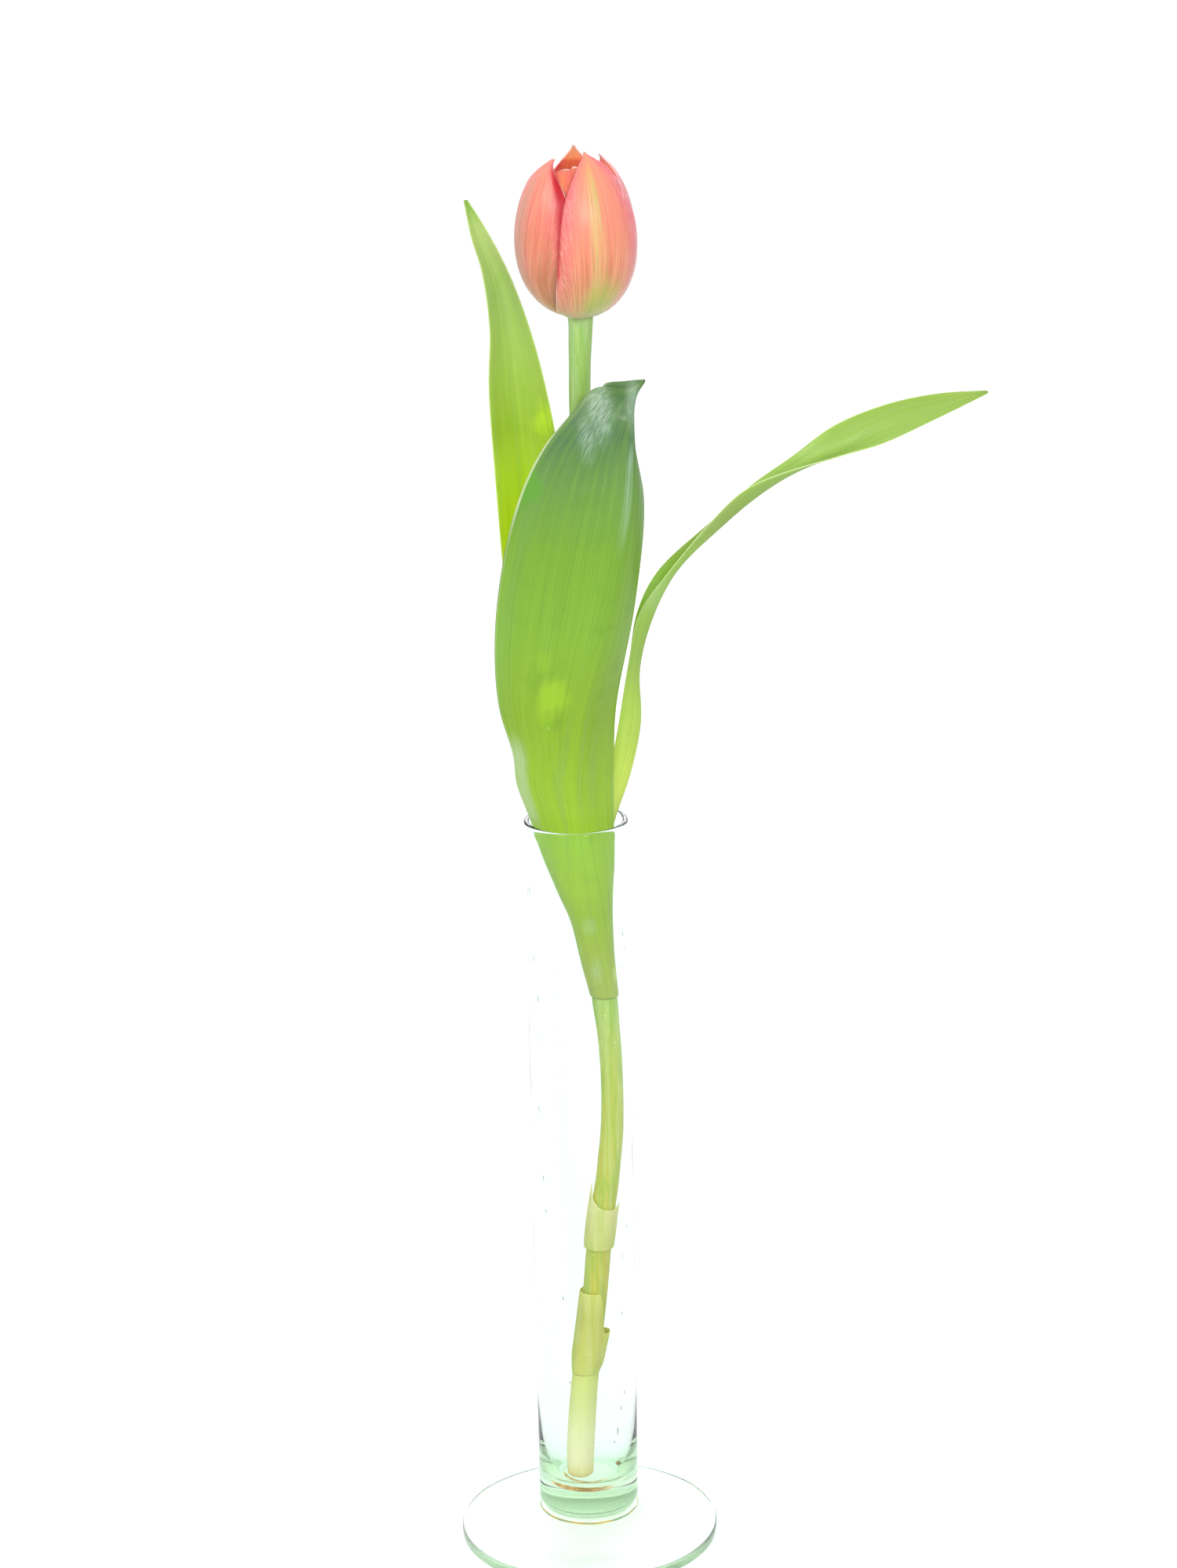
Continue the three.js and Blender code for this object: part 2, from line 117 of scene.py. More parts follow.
def node(tree, kind, inputs=(), stops=(), **settings):
    """Adds one shader node with its settings, its colour stops and its links."""
    made = tree.nodes.new("ShaderNode" + kind)
    for key, value in settings.items():
        setattr(made, key, value)
    for socket, value in dict(inputs).items():
        if isinstance(value, bpy.types.Node):
            value = value.outputs[0]
        if isinstance(value, bpy.types.NodeSocket):
            tree.links.new(value, made.inputs[socket])
        else:
            made.inputs[socket].default_value = value
    for k, (place, colour) in enumerate(stops):
        stop = made.color_ramp.elements[k] if k < 2 else made.color_ramp.elements.new(place)
        stop.position = place
        stop.color = linear(colour)
    return made


def blank(name):
    """An empty material and its tree, with its output node."""
    material = bpy.data.materials.new(name)
    material.use_nodes = True
    material.node_tree.nodes.clear()
    return material, material.node_tree, node(material.node_tree, "OutputMaterial")


def where(tree, *parts):
    """Where a coat lies: the product of parts. A part is a number, another share, or a smooth
    step, given as a value, the places where the step starts and ends, and its shares there
    unless they are 0 and 1."""
    product = None
    for part in parts:
        if isinstance(part, tuple):
            value, low, high, start, end = part if len(part) == 5 else (*part, 0.0, 1.0)
            part = node(tree, "MapRange", {"Value": value, "From Min": low, "From Max": high,
                                           "To Min": start, "To Max": end},
                        interpolation_type="SMOOTHSTEP")
        if product is None:
            product = part
        else:
            product = node(tree, "Math", {0: product, 1: part}, operation="MULTIPLY")
    return product


def coated(tree, colour, coats):
    """A colour under thin coats of other colours, one after another. A coat is its colour and
    the share of it that shows."""
    for tint, share in coats:
        if isinstance(tint, str):
            tint = linear(tint)
        colour = node(tree, "Mix", {"Factor": share, 6: colour, 7: tint}, data_type="RGBA").outputs[2]
    return colour


def gap_to(tree, value, place):
    """How far a value is from a place, on either side."""
    gap = node(tree, "Math", {0: value, 1: place}, operation="SUBTRACT")
    return node(tree, "Math", {0: gap}, operation="ABSOLUTE")


def reaches_from(tree, place, centre, reach):
    """How far a point lies from the centre of a patch, counted in the patch's reach each way."""
    off = node(tree, "VectorMath", {0: place, 1: centre}, operation="SUBTRACT")
    off = node(tree, "VectorMath", {0: off, 1: [1 / far for far in reach]}, operation="MULTIPLY")
    return node(tree, "VectorMath", {0: off}, operation="LENGTH").outputs["Value"]


def leaf_patch(tree, place, centre, wide, tall):
    """Reaches from a patch on a leaf, in mm. It is deep, so that the leaf's bend can't leave it."""
    return reaches_from(tree, place, [c * MM for c in centre], (wide * MM, 4 * wide * MM, tall * MM))


def by_height(tree, height, heights):
    """A colour that follows the height, from a list of heights in mm and colours."""
    low, high = heights[0][0], heights[-1][0]
    share = node(tree, "MapRange", {"Value": height, "From Min": low * MM, "From Max": high * MM})
    stops = [((z - low) / (high - low), colour) for z, colour in heights]
    return node(tree, "ValToRGB", {0: share}, stops=stops).outputs[0]


def streaks(tree, across, along, count, length, seed):
    """Noise drawn out along a blade: count cells across it and length cells along it."""
    spot = node(tree, "CombineXYZ", {0: where(tree, across, count), 1: where(tree, along, length),
                                     2: seed})
    return node(tree, "TexNoise", {"Vector": spot, "Scale": 1.0, "Detail": 3.0})


def tissue(tree, out, colour, roughness, bump, see_through, sheen, coat):
    """Living tissue: a satin skin over wet flesh, IOR 1.42, that lets part of the light through."""
    skin = node(tree, "BsdfPrincipled", {
        "Base Color": colour, "Roughness": roughness, "IOR": 1.42, "Normal": bump,
        "Sheen Weight": sheen, "Sheen Roughness": 0.4, "Coat Weight": coat, "Coat Roughness": 0.25})
    flesh = node(tree, "BsdfTranslucent", {"Color": colour, "Normal": bump})
    mixed = node(tree, "MixShader", {0: see_through, 1: skin, 2: flesh})
    tree.links.new(mixed.outputs[0], out.inputs["Surface"])


def petal_tissue(name, seed, body, flame, pinks, seam_shade_shares=(0.0, 0.0), orange="#FBB085", pink="#EE5F7C",
                 umber=0.5, cream_and_sheen=0.0, blotch=None, see_through=0.42):
    """Tulip petal: silky, with fine fanning veins, a flame up its middle, orange flanks and pink
    margins, where the veins run out slantwise as fine ticks. The veins are 0.4 to 0.8 mm apart.
    Body is its colours from foot to tip. Flame is its place across, its half width, its colour,
    its strands' colour and its share. Pinks are the shares of pink at the left and right margins,
    and seam_shade_shares those of deep red painted there as shade, where a margin dips under its
    neighbour. Umber is the share of the brown strands, and cream_and_sheen that of a pale wash on
    the left flank, partly the petal's own cream and partly a painted sheen. Blotch is a patch's
    middle, its reach, its colour and its share."""
    material, tree, out = blank(name)
    uv = node(tree, "SeparateXYZ", {0: node(tree, "UVMap", uv_map=UNROLLED)})
    along = uv.outputs[1]
    across = node(tree, "Math", {0: uv.outputs[0], 1: 0.5}, operation="SUBTRACT")
    from_middle = node(tree, "Math", {0: across}, operation="ABSOLUTE")

    # The strands fan out from the narrow foot, so they are counted on a share that widens with it.
    width = node(tree, "Math", {0: along, 1: 0.6, 2: 0.4}, operation="MULTIPLY_ADD")
    fan = node(tree, "Math", {0: across, 1: width}, operation="DIVIDE")
    broad = streaks(tree, fan, along, 13, 1.1, seed + 11)
    middle = streaks(tree, fan, along, 34, 1.6, seed)
    fine = streaks(tree, fan, along, 120, 3.5, seed + 7)
    slant = node(tree, "Math", {0: where(tree, along, 62), 1: where(tree, from_middle, 44)},
                 operation="SUBTRACT")
    ticks = streaks(tree, slant, from_middle, 1.25, 16, seed + 17)
    at_margin = where(tree, (from_middle, 0.22, 0.42), (along, 0.12, 0.3))

    margins = node(tree, "Math", {0: where(tree, (across, -0.16, -0.46, 0.0, pinks[0])),
                                  1: where(tree, (across, 0.16, 0.46, 0.0, pinks[1]))}, operation="ADD")
    place, half, glow, strand, share = flame
    off = gap_to(tree, fan, place)
    coats = [
        (orange, where(tree, (from_middle, 0.5, 0.26), (broad, 0.32, 0.64, 0.25, 0.62))),
        (pink, where(tree, margins, (along, 0.02, 0.2), (broad, 0.3, 0.66, 0.55, 1.0))),
        ("#C07A48", where(tree, (middle, 0.44, 0.6), (along, 0.72, 0.3), (along, 0.08, 0.24), umber)),
        (glow, where(tree, (off, half, half * 0.15), (middle, 0.36, 0.56, 0.35, 1.0),
                     (along, 0.99, 0.75, 0.1, share))),
        (strand, where(tree, (off, half * 0.8, half * 0.2), (middle, 0.52, 0.62),
                       (along, 0.95, 0.6, 0.0, share))),
        (pink, where(tree, (fine, 0.5, 0.64, 0.0, 0.38), (along, 0.1, 0.35))),
        ("#B9743F", where(tree, (fine, 0.54, 0.64, 0.0, 0.5), (along, 0.62, 0.3), (along, 0.08, 0.22))),
        ("#FFD9C2", where(tree, (fine, 0.47, 0.32, 0.0, 0.3))),
        ("#F8B8A8", where(tree, (ticks, 0.48, 0.62, 0.0, 0.5), at_margin)),
    ]
    # Painted shade: deep red along a margin that dips under its neighbour, in the seam between petals.
    if any(seam_shade_shares):
        seam = node(tree, "Math", {0: where(tree, (across, -0.45, -0.5, 0.0, seam_shade_shares[0])),
                                   1: where(tree, (across, 0.31, 0.4, 0.0, seam_shade_shares[1]))}, operation="ADD")
        coats.append(("#C60A24", where(tree, seam, (along, 0.2, 0.4), (along, 0.99, 0.85))))
    if blotch:
        spot, reach, tint, strength = blotch
        far = reaches_from(tree, node(tree, "CombineXYZ", {0: across, 1: along}), (*spot, 0.0), (*reach, 1.0))
        coats.append((tint, where(tree, (far, 1.2, 0.3), (middle, 0.32, 0.56, 0.5, 1.0), strength)))
    # A pale wash over the left flank: partly the petal's own cream, partly a painted sheen.
    if cream_and_sheen:
        coats.append(("#EEE4CE", where(tree, (across, 0.05, -0.3), (along, 0.72, 0.2),
                                       (middle, 0.3, 0.56, 0.5, 1.0), cream_and_sheen)))

    # The rim is painted pale: partly the margin's own paler colour, partly a painted highlight on the thin
    # edges. The pale rim is left off the left margin where the deep red painted shade lies.
    rim = node(tree, "Math", {0: where(tree, (from_middle, 0.482, 0.494)),
                              1: where(tree, (along, 0.98, 0.994))}, operation="MAXIMUM")
    under_seam_shade = where(tree, (along, 0.3, 0.42), (across, 0.1, -0.1), seam_shade_shares[0])
    rim = node(tree, "Math", {0: rim, 1: under_seam_shade}, operation="SUBTRACT", use_clamp=True)
    coats.append(("#FFF1EC", where(tree, rim, 0.9)))
    colour = coated(tree, node(tree, "ValToRGB", {0: along}, stops=body).outputs[0], coats)

    relief = node(tree, "Math", {0: fine, 1: 0.6, 2: middle}, operation="MULTIPLY_ADD")
    relief = node(tree, "Math", {0: where(tree, ticks, at_margin), 1: 0.6, 2: relief},
                  operation="MULTIPLY_ADD")
    bump = node(tree, "Bump", {"Strength": 0.8, "Distance": 0.22 * MM, "Height": relief})
    gloss = where(tree, (fine, 0.3, 0.7, 0.34, 0.5))
    tissue(tree, out, colour, gloss, bump, see_through, sheen=0.75, coat=0.2)
    return material


def leaf_tissue(name, seed, heights, veins, shades, spots=(), highlights=(), keel=None, strip=None,
                rim_from=None, see_through=0.4):
    """Tulip leaf: bright green flesh under a waxy skin, with veins about 1 mm apart that run its
    whole length. Heights is a list of heights in mm and colours, and shades are the dark veins,
    the pale bands and the greyish bands. Spots are patches of other greens, with ragged edges,
    and some are painted light. Highlights are patches of painted highlight on the waxy skin,
    drawn as brushed white strokes, and keel is a painted highlight along the keel. Strip is where
    the left margin turns back, and rim_from is where the rim shows pale. All of these in mm."""
    material, tree, out = blank(name)
    place = node(tree, "TexCoord").outputs["Object"]
    height = node(tree, "SeparateXYZ", {0: place}).outputs[2]
    uv = node(tree, "SeparateXYZ", {0: node(tree, "UVMap", uv_map=UNROLLED)})
    across, along = uv.outputs[0], uv.outputs[1]
    vein = streaks(tree, across, along, veins, 2.2, seed)
    fine = streaks(tree, across, along, veins * 2.6, 9.0, seed + 5)
    stripe = streaks(tree, across, along, veins * 0.22, 3.2, seed + 9)
    brushed = streaks(tree, across, along, 150, 44, seed + 13)
    cloud = node(tree, "TexNoise", {"Vector": place, "Scale": 1 / (9 * MM), "Detail": 3.0})
    dark, pale, grey = shades
    coats = [
        (pale, where(tree, (stripe, 0.5, 0.7, 0.0, 0.2))),
        (grey, where(tree, (stripe, 0.48, 0.3, 0.0, 0.25))),
        (dark, where(tree, (vein, 0.52, 0.7, 0.0, 0.2))),
        (pale, where(tree, (vein, 0.46, 0.3, 0.0, 0.1))),
        (dark, where(tree, (fine, 0.52, 0.68, 0.0, 0.24))),
        (pale, where(tree, (fine, 0.46, 0.32, 0.0, 0.12))),
        (dark, where(tree, (cloud, 0.56, 0.74, 0.0, 0.25))),
    ]
    for centre, wide, tall, tint, strength in spots:
        far = leaf_patch(tree, place, centre, wide, tall)
        ragged = node(tree, "Math", {0: vein, 1: 1.5, 2: far}, operation="MULTIPLY_ADD")
        ragged = node(tree, "Math", {0: cloud, 1: 2.5, 2: ragged}, operation="MULTIPLY_ADD")
        coats.append((tint, where(tree, (ragged, 3.2, 2.1, 0.0, strength))))

    # Painted highlights on the waxy skin, drawn as brushed white strokes inside each patch.
    strokes = where(tree, (brushed, 0.4, 0.64, 0.2, 1.0))
    highlighted = [where(tree, strokes, (leaf_patch(tree, place, centre, wide, tall), 1.3, 0.3, 0.0, strength))
             for centre, wide, tall, strength in highlights]
    # Painted highlight: a thin pale line along the keel.
    if keel:
        start, end, side = keel
        highlighted.append(where(tree, (gap_to(tree, across, side), 0.06, 0.02), (fine, 0.45, 0.58, 0.06, 0.32),
                           (height, start * MM, (start + 22) * MM), (height, end * MM, (end - 12) * MM)))
    # Where painted highlights overlap, the brightest shows; they are painted pale over the green.
    if highlighted:
        bloom = highlighted[0]
        for layer in highlighted[1:]:
            bloom = node(tree, "Math", {0: bloom, 1: layer}, operation="MAXIMUM")
        coats.append(("#D3E4DA", bloom))
    if strip:
        start, end = strip
        coats.append(("#AFC596", where(
            tree, (across, 0.12, 0.05), (height, start * MM, (start + 8) * MM),
            (height, end * MM, (end - 12) * MM), (fine, 0.3, 0.7, 0.9, 0.5))))
    rim = where(tree, (gap_to(tree, across, 0.5), 0.486, 0.497, 0.0, 0.8))
    if rim_from:
        rim = where(tree, rim, (height, rim_from * MM, (rim_from + 20) * MM, 0.25, 1.0),
                    (height, (rim_from + 52) * MM, (rim_from + 38) * MM, 0.15, 1.0))
    coats.append(("#EEF5CC", rim))
    colour = coated(tree, by_height(tree, height, heights), coats)

    relief = node(tree, "Math", {0: fine, 1: 0.5, 2: vein}, operation="MULTIPLY_ADD")
    bump = node(tree, "Bump", {"Strength": 0.4, "Distance": 0.2 * MM, "Height": relief})
    gloss = where(tree, (vein, 0.3, 0.7, 0.33, 0.48))
    tissue(tree, out, colour, gloss, bump, see_through, sheen=0.12, coat=0.15)
    return material


def stem_tissue(name, heights, mottle, fibre_width=0.9, see_through=0.3, mottled_from=None):
    """Tulip stem or sheath: juicy and satin, with fibres along it. Heights is a list of heights
    in mm and colours. Mottle is the colours of its long patches and of its pale bands, which
    mottled_from keeps off its bleached lower end."""
    material, tree, out = blank(name)
    place = node(tree, "TexCoord").outputs["Object"]
    height = node(tree, "SeparateXYZ", {0: place}).outputs[2]

    def drawn_out(slowness, width, detail):
        along = node(tree, "Mapping", {"Vector": place, "Scale": (1.0, 1.0, slowness)})
        return node(tree, "TexNoise", {"Vector": along, "Scale": 1 / (width * MM), "Detail": detail})

    fibres = drawn_out(0.05, fibre_width, 2.0)
    patches = where(tree, (drawn_out(0.16, 3.4, 3.0), 0.48, 0.6, 0.0, 0.42))
    bands = where(tree, (drawn_out(0.02, 2.4 * fibre_width, 1.0), 0.46, 0.62, 0.0, 0.32))
    if mottled_from:
        rise = where(tree, (height, mottled_from * MM, (mottled_from + 40) * MM))
        patches, bands = where(tree, patches, rise), where(tree, bands, rise)
    specks = node(tree, "TexNoise", {"Vector": place, "Scale": 1 / (1.1 * MM), "Detail": 1.0})
    colour = coated(tree, by_height(tree, height, heights), [
        (mottle[1], bands), (mottle[0], patches), (mottle[1], where(tree, (fibres, 0.52, 0.7, 0.0, 0.3))),
        ("#F2F6DC", where(tree, (specks, 0.7, 0.78, 0.0, 0.4)))])
    bump = node(tree, "Bump", {"Strength": 0.35, "Distance": 0.15 * MM, "Height": fibres})
    gloss = where(tree, (fibres, 0.3, 0.7, 0.36, 0.5))
    tissue(tree, out, colour, gloss, bump, see_through, sheen=0.1, coat=0.1)
    return material


def recycled_glass():
    """Recycled soda-lime glass, blown: clear in the thin tube, pale green where it is thick,
    because traces of iron take red and blue from light on its way through. The blown wall
    ripples, 14 mm from wave to wave. The foot is ground dull underneath, which keeps the thick
    base light. The IOR is 1.4, a little under the usual 1.5, so that less light is caught between
    the faces, where a renderer loses it and leaves black."""
    material, tree, out = blank("recycled_soda_lime_glass")
    place = node(tree, "TexCoord").outputs["Object"]
    height = node(tree, "SeparateXYZ", {0: place}).outputs[2]
    ripple = node(tree, "TexNoise", {"Vector": node(tree, "Mapping", {
        "Vector": place, "Scale": (1.0, 1.0, 0.45)}), "Scale": 1 / (14 * MM), "Detail": 1.0})
    ripple = where(tree, ripple, (height, 280 * MM, 262 * MM), (height, 12 * MM, 30 * MM))
    bump = node(tree, "Bump", {"Strength": 0.25, "Distance": 0.3 * MM, "Height": ripple})
    reach = node(tree, "VectorMath", {0: place}, operation="LENGTH").outputs["Value"]
    ground = where(tree, (height, 0.14 * MM, 0.04 * MM), (reach, 34 * MM, 26 * MM, 0.2, 0.6))
    glass = node(tree, "BsdfPrincipled", {
        "Base Color": linear("#F7FFFB"), "Roughness": ground, "IOR": 1.4, "Transmission Weight": 1.0,
        "Specular Tint": linear("#C8D2CC"), "Normal": bump})
    clear = node(tree, "BsdfTransparent", {"Color": linear("#F8FCFA")})
    to_lamp = node(tree, "LightPath").outputs["Is Shadow Ray"]
    mixed = node(tree, "MixShader", {0: to_lamp, 1: glass, 2: clear})
    iron = node(tree, "VolumeAbsorption", {"Color": (0.18, 0.52, 0.06, 1.0), "Density": 15.0})
    tree.links.new(mixed.outputs[0], out.inputs["Surface"])
    tree.links.new(iron.outputs[0], out.inputs["Volume"])
    return material


def small_matter(name, dark, light, roughness, grain):
    """Small matter such as a dried film, a fleck in glass or pollen, uneven in its colour."""
    material, tree, out = blank(name)
    place = node(tree, "TexCoord").outputs["Object"]
    cloud = node(tree, "TexNoise", {"Vector": place, "Scale": 1 / (grain * MM), "Detail": 3.0})
    colour = coated(tree, linear(dark), [(light, where(tree, (cloud, 0.4, 0.62)))])
    bump = node(tree, "Bump", {"Strength": 0.4, "Distance": 0.1 * MM, "Height": cloud})
    body = node(tree, "BsdfPrincipled", {"Base Color": colour, "Roughness": roughness, "Normal": bump})
    tree.links.new(body.outputs[0], out.inputs["Surface"])
    return material


def white_sweep():
    """Seamless white paper, lit until it has no shade of its own."""
    material, tree, out = blank("white_paper_sweep")
    place = node(tree, "TexCoord").outputs["Object"]
    fibres = node(tree, "TexNoise", {"Vector": place, "Scale": 40.0, "Detail": 2.0})
    colour = coated(tree, linear("#7C7E80"), [("#828486", fibres.outputs[0])])
    paper = node(tree, "BsdfPrincipled", {
        "Base Color": colour, "Roughness": 0.9, "Emission Color": (0.985, 0.995, 1.0, 1.0),
        "Emission Strength": 0.84})
    tree.links.new(paper.outputs[0], out.inputs["Surface"])
    return material


# Modelling

def fresh():
    """Leaves object mode with nothing selected."""
    if bpy.context.mode != "OBJECT":
        bpy.ops.object.mode_set(mode="OBJECT")
    bpy.ops.object.select_all(action="DESELECT")


def in_place(piece):
    """Moves a piece's place into its mesh, so that the object sits at the origin."""
    fresh()
    piece.select_set(True)
    bpy.context.view_layer.objects.active = piece
    bpy.ops.object.transform_apply(location=True, rotation=True, scale=True)


def joined(pieces):
    """The pieces as one, under the first of them."""
    fresh()
    for piece in pieces:
        piece.select_set(True)
    bpy.context.view_layer.objects.active = pieces[0]
    bpy.ops.object.join()
    return pieces[0]


def finished(piece, name, material, slot, replaced=()):
    """Names a piece, gives it its finish and places its mesh, and ties it to the frame."""
    piece.name = piece.data.name = name
    in_place(piece)
    bpy.ops.object.shade_smooth()
    piece.data.materials.clear()
    piece.data.materials.append(material)
    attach(piece, "root")
    if replaced:
        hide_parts(*replaced)
    return piece


def applied(piece, kind, **settings):
    """Adds one modifier and applies it."""
    modifier = piece.modifiers.new(kind.title(), kind)
    for key, value in settings.items():
        setattr(modifier, key, value)
    bpy.context.view_layer.objects.active = piece
    bpy.ops.object.modifier_apply(modifier=modifier.name)


def blade(rows, columns, place, swell, thickness):
    """A thin closed blade: a grid laid out by place(s, t), with s from -1 to 1 across and t from
    0 to 1 along, pushed out by swell(s, t), then given its thickness and smoothed."""
    fresh()
    bpy.ops.mesh.primitive_grid_add(x_subdivisions=columns, y_subdivisions=rows, size=2)
    piece = bpy.context.object
    mesh = piece.data
    spots = [(v.co.x, (v.co.y + 1) / 2) for v in mesh.vertices]
    shape = (rows + 1, columns + 1, 3)
    grid = np.array([place(s, t) for s, t in spots]).reshape(shape)
    normals = np.cross(np.gradient(grid, axis=1), np.gradient(grid, axis=0))
    normals /= np.maximum(np.linalg.norm(normals, axis=2, keepdims=True), 1e-9)
    push = np.array([swell(s, t) for s, t in spots]).reshape(shape[:2] + (1,))
    mesh.vertices.foreach_set("co", ((grid + normals * push) * MM).ravel())
    mesh.uv_layers[0].name = UNROLLED
    greatest = max(thickness(s, t) for s, t in spots)
    group = piece.vertex_groups.new(name="thickness")
    for k, (s, t) in enumerate(spots):
        group.add([k], thickness(s, t) / greatest, "REPLACE")
    applied(piece, "SOLIDIFY", thickness=greatest * MM, offset=0, vertex_group="thickness")
    applied(piece, "SUBSURF", levels=1, render_levels=1)
    return piece


def ringed(levels, sides, lobes=0, ridge=0.0):
    """A solid of level rings, extruded from a circle one after another. A level is the centre's
    x, y and z and the radius."""
    fresh()
    x, y, z, radius = (value * MM for value in levels[0])
    bpy.ops.mesh.primitive_circle_add(vertices=sides, radius=radius, fill_type="NGON", location=(x, y, z))
    piece = bpy.context.object
    if lobes:
        for vertex in piece.data.vertices:
            vertex.co *= 1 + ridge * math.cos(lobes * math.atan2(vertex.co.y, vertex.co.x))
    bpy.ops.object.mode_set(mode="EDIT")
    bpy.ops.mesh.select_all(action="SELECT")
    for before, level in zip(levels, levels[1:]):
        step = [(b - a) * MM for a, b in zip(before[:3], level[:3])]
        bpy.ops.mesh.extrude_region_move(TRANSFORM_OT_translate={"value": step})
        wider = level[3] / before[3]
        bpy.ops.transform.resize(value=(wider, wider, 1), center_override=[v * MM for v in level[:3]])
    bpy.ops.mesh.select_all(action="SELECT")
    bpy.ops.mesh.normals_make_consistent(inside=False)
    bpy.ops.object.mode_set(mode="OBJECT")
    return piece


def turned(profile, steps):
    """A solid of revolution: a vertex extruded along the profile, then spun round the Z axis. A
    profile that ends where it starts makes a ring."""
    fresh()
    bpy.ops.mesh.primitive_circle_add(vertices=3, radius=0.1 * MM, location=(0, 0, 0))
    piece = bpy.context.object
    bpy.ops.object.mode_set(mode="EDIT")
    bpy.ops.mesh.select_all(action="SELECT")
    bpy.ops.mesh.merge(type="CENTER")
    bpy.ops.transform.translate(value=(profile[0][0] * MM, 0, profile[0][1] * MM))
    for (r, z), (far, high) in zip(profile, profile[1:]):
        bpy.ops.mesh.extrude_vertices_move(
            TRANSFORM_OT_translate={"value": ((far - r) * MM, 0, (high - z) * MM)})
    bpy.ops.mesh.select_all(action="SELECT")
    if profile[0] == profile[-1]:
        bpy.ops.mesh.remove_doubles(threshold=1e-6)
    bpy.ops.mesh.spin(steps=steps, angle=2 * math.pi, center=(0, 0, 0), axis=(0, 0, 1))
    bpy.ops.mesh.select_all(action="SELECT")
    bpy.ops.mesh.remove_doubles(threshold=1e-6)
    bpy.ops.mesh.normals_make_consistent(inside=False)
    bpy.ops.object.mode_set(mode="OBJECT")
    return piece


def bend(r, z, radius, start, end, steps):
    """Profile points on a bend."""
    turns = [math.radians(blend(start, end, k / steps)) for k in range(steps + 1)]
    return [(r + radius * math.cos(turn), z + radius * math.sin(turn)) for turn in turns]


# The vase

# The foot's gently domed top, from its rim to the waist: radii, and heights above the rim's top.
FOOT_DOME = [(44, 0.04), (38, 0.25), (33, 0.7), (29, 1.35), (26, 2.1), (23.5, 3.1), (21.6, 4.2),
             (20.2, 5.3), (19.3, 6.2), (18.7, 6.8), (18.2, 7), (WAIST_RADIUS + 0.6, 7.2),
             (WAIST_RADIUS + 0.2, 7.7)]
# The melted rim swells a little on both sides of the wall: how far, and how far below the bead.
RIM_SWELL = [(0, 4), (0.05, 2.4), (0.15, 0.9)]
# Inside, the wall curves into the thick floor: distances in from the wall, and heights.
FLOOR_CURVE = [(0, 58), (0.15, 51), (0.45, 44), (0.9, 38.5), (1.5, 33.5), (2.3, 29.6), (3.3, 26.8),
               (4.6, 24.7), (6.2, 23.2), (7.9, FLOOR_HEIGHT + 0.35), (9.6, FLOOR_HEIGHT + 0.04)]
# Bubbles and flecks in the tube's wall: bearings, heights and half lengths.
SEEDS = [(-75, 262, 3.2), (-62, 237, 2.6), (-55, 222, 3.0), (62, 246, 2.2), (66, 240, 1.4),
         (58, 234, 1.2), (-58, 178, 3.4), (-52, 151, 2.6), (-49, 138, 1.6), (60, 130, 1.3),
         (48, 96, 1.4), (44, 57, 2.2), (50, 63, 1.8), (38, 48, 3.6), (33, 44, 1.5), (-110, 200, 2.6),
         (150, 170, 2.4), (120, 110, 2.8), (-150, 90, 2.0), (172, 240, 2.6), (-20, 70, 1.1)]


def vase():
    """One turned profile, from the middle of the foot's underside round to the middle of the
    tube's floor. The blown wall then sways by WALL_SWAY."""
    inner = TUBE_RADIUS - WALL
    bead = VASE_HEIGHT - BEAD_RADIUS
    swell = RIM_SWELL[-1][0]
    profile = [(0, 0), (20, 0), (38, 0)]
    profile += bend(FOOT_RADIUS - FOOT_CORNER, FOOT_CORNER, FOOT_CORNER, -90, 0, 6)
    profile += bend(FOOT_RADIUS - FOOT_CORNER, FOOT_THICK - FOOT_CORNER, FOOT_CORNER, 0, 86, 6)
    profile += [(radius, FOOT_THICK + rise) for radius, rise in FOOT_DOME]
    profile += bend(TUBE_RADIUS - HEEL_RADIUS, 16.2, HEEL_RADIUS, -66, 0, 9)
    profile += [(TUBE_RADIUS, z) for z in range(20, 280, 8)]
    profile += [(TUBE_RADIUS + out, bead - below) for out, below in RIM_SWELL]
    profile += bend(TUBE_RADIUS + swell - BEAD_RADIUS, bead, BEAD_RADIUS, 0, 180, 18)
    profile += [(inner - out, bead - below) for out, below in reversed(RIM_SWELL)]
    profile += [(inner, z) for z in range(276, 60, -8)]
    profile += [(inner - inward, z) for inward, z in FLOOR_CURVE]
    profile += [(5, FLOOR_HEIGHT), (0, FLOOR_HEIGHT)]
    piece = turned(profile, 240)
    for vertex in piece.data.vertices:
        x, y, z = vertex.co
        reach = math.hypot(x, y)
        if z > 12 * MM and reach > 12 * MM:
            sway = WALL_SWAY * noise.noise(Vector((x / reach * 1.3, y / reach * 1.3, z / (45 * MM))))
            vertex.co.x += x / reach * sway * MM
            vertex.co.y += y / reach * sway * MM
    return finished(piece, "vase_glass", recycled_glass(), "glass", ["vase"])


def seeds():
    """Slim bubbles and flecks drawn out in the wall of the tube."""
    flecks = []
    for bearing, z, length in SEEDS:
        fresh()
        turn = math.radians(bearing)
        radius = TUBE_RADIUS - WALL / 2
        bpy.ops.mesh.primitive_uv_sphere_add(
            segments=8, ring_count=6, radius=0.5,
            location=(radius * math.sin(turn) * MM, -radius * math.cos(turn) * MM, z * MM),
            rotation=(0, CHANCE.uniform(-0.15, 0.15), turn),
            scale=(0.42 * MM, 0.24 * MM, length * MM))
        flecks.append(bpy.context.object)
    matter = small_matter("seed_bubbles_in_glass", "#4E5C54", "#8FA399", 0.25, 0.8)
    return finished(joined(flecks), "vase_seeds", matter, "glass")


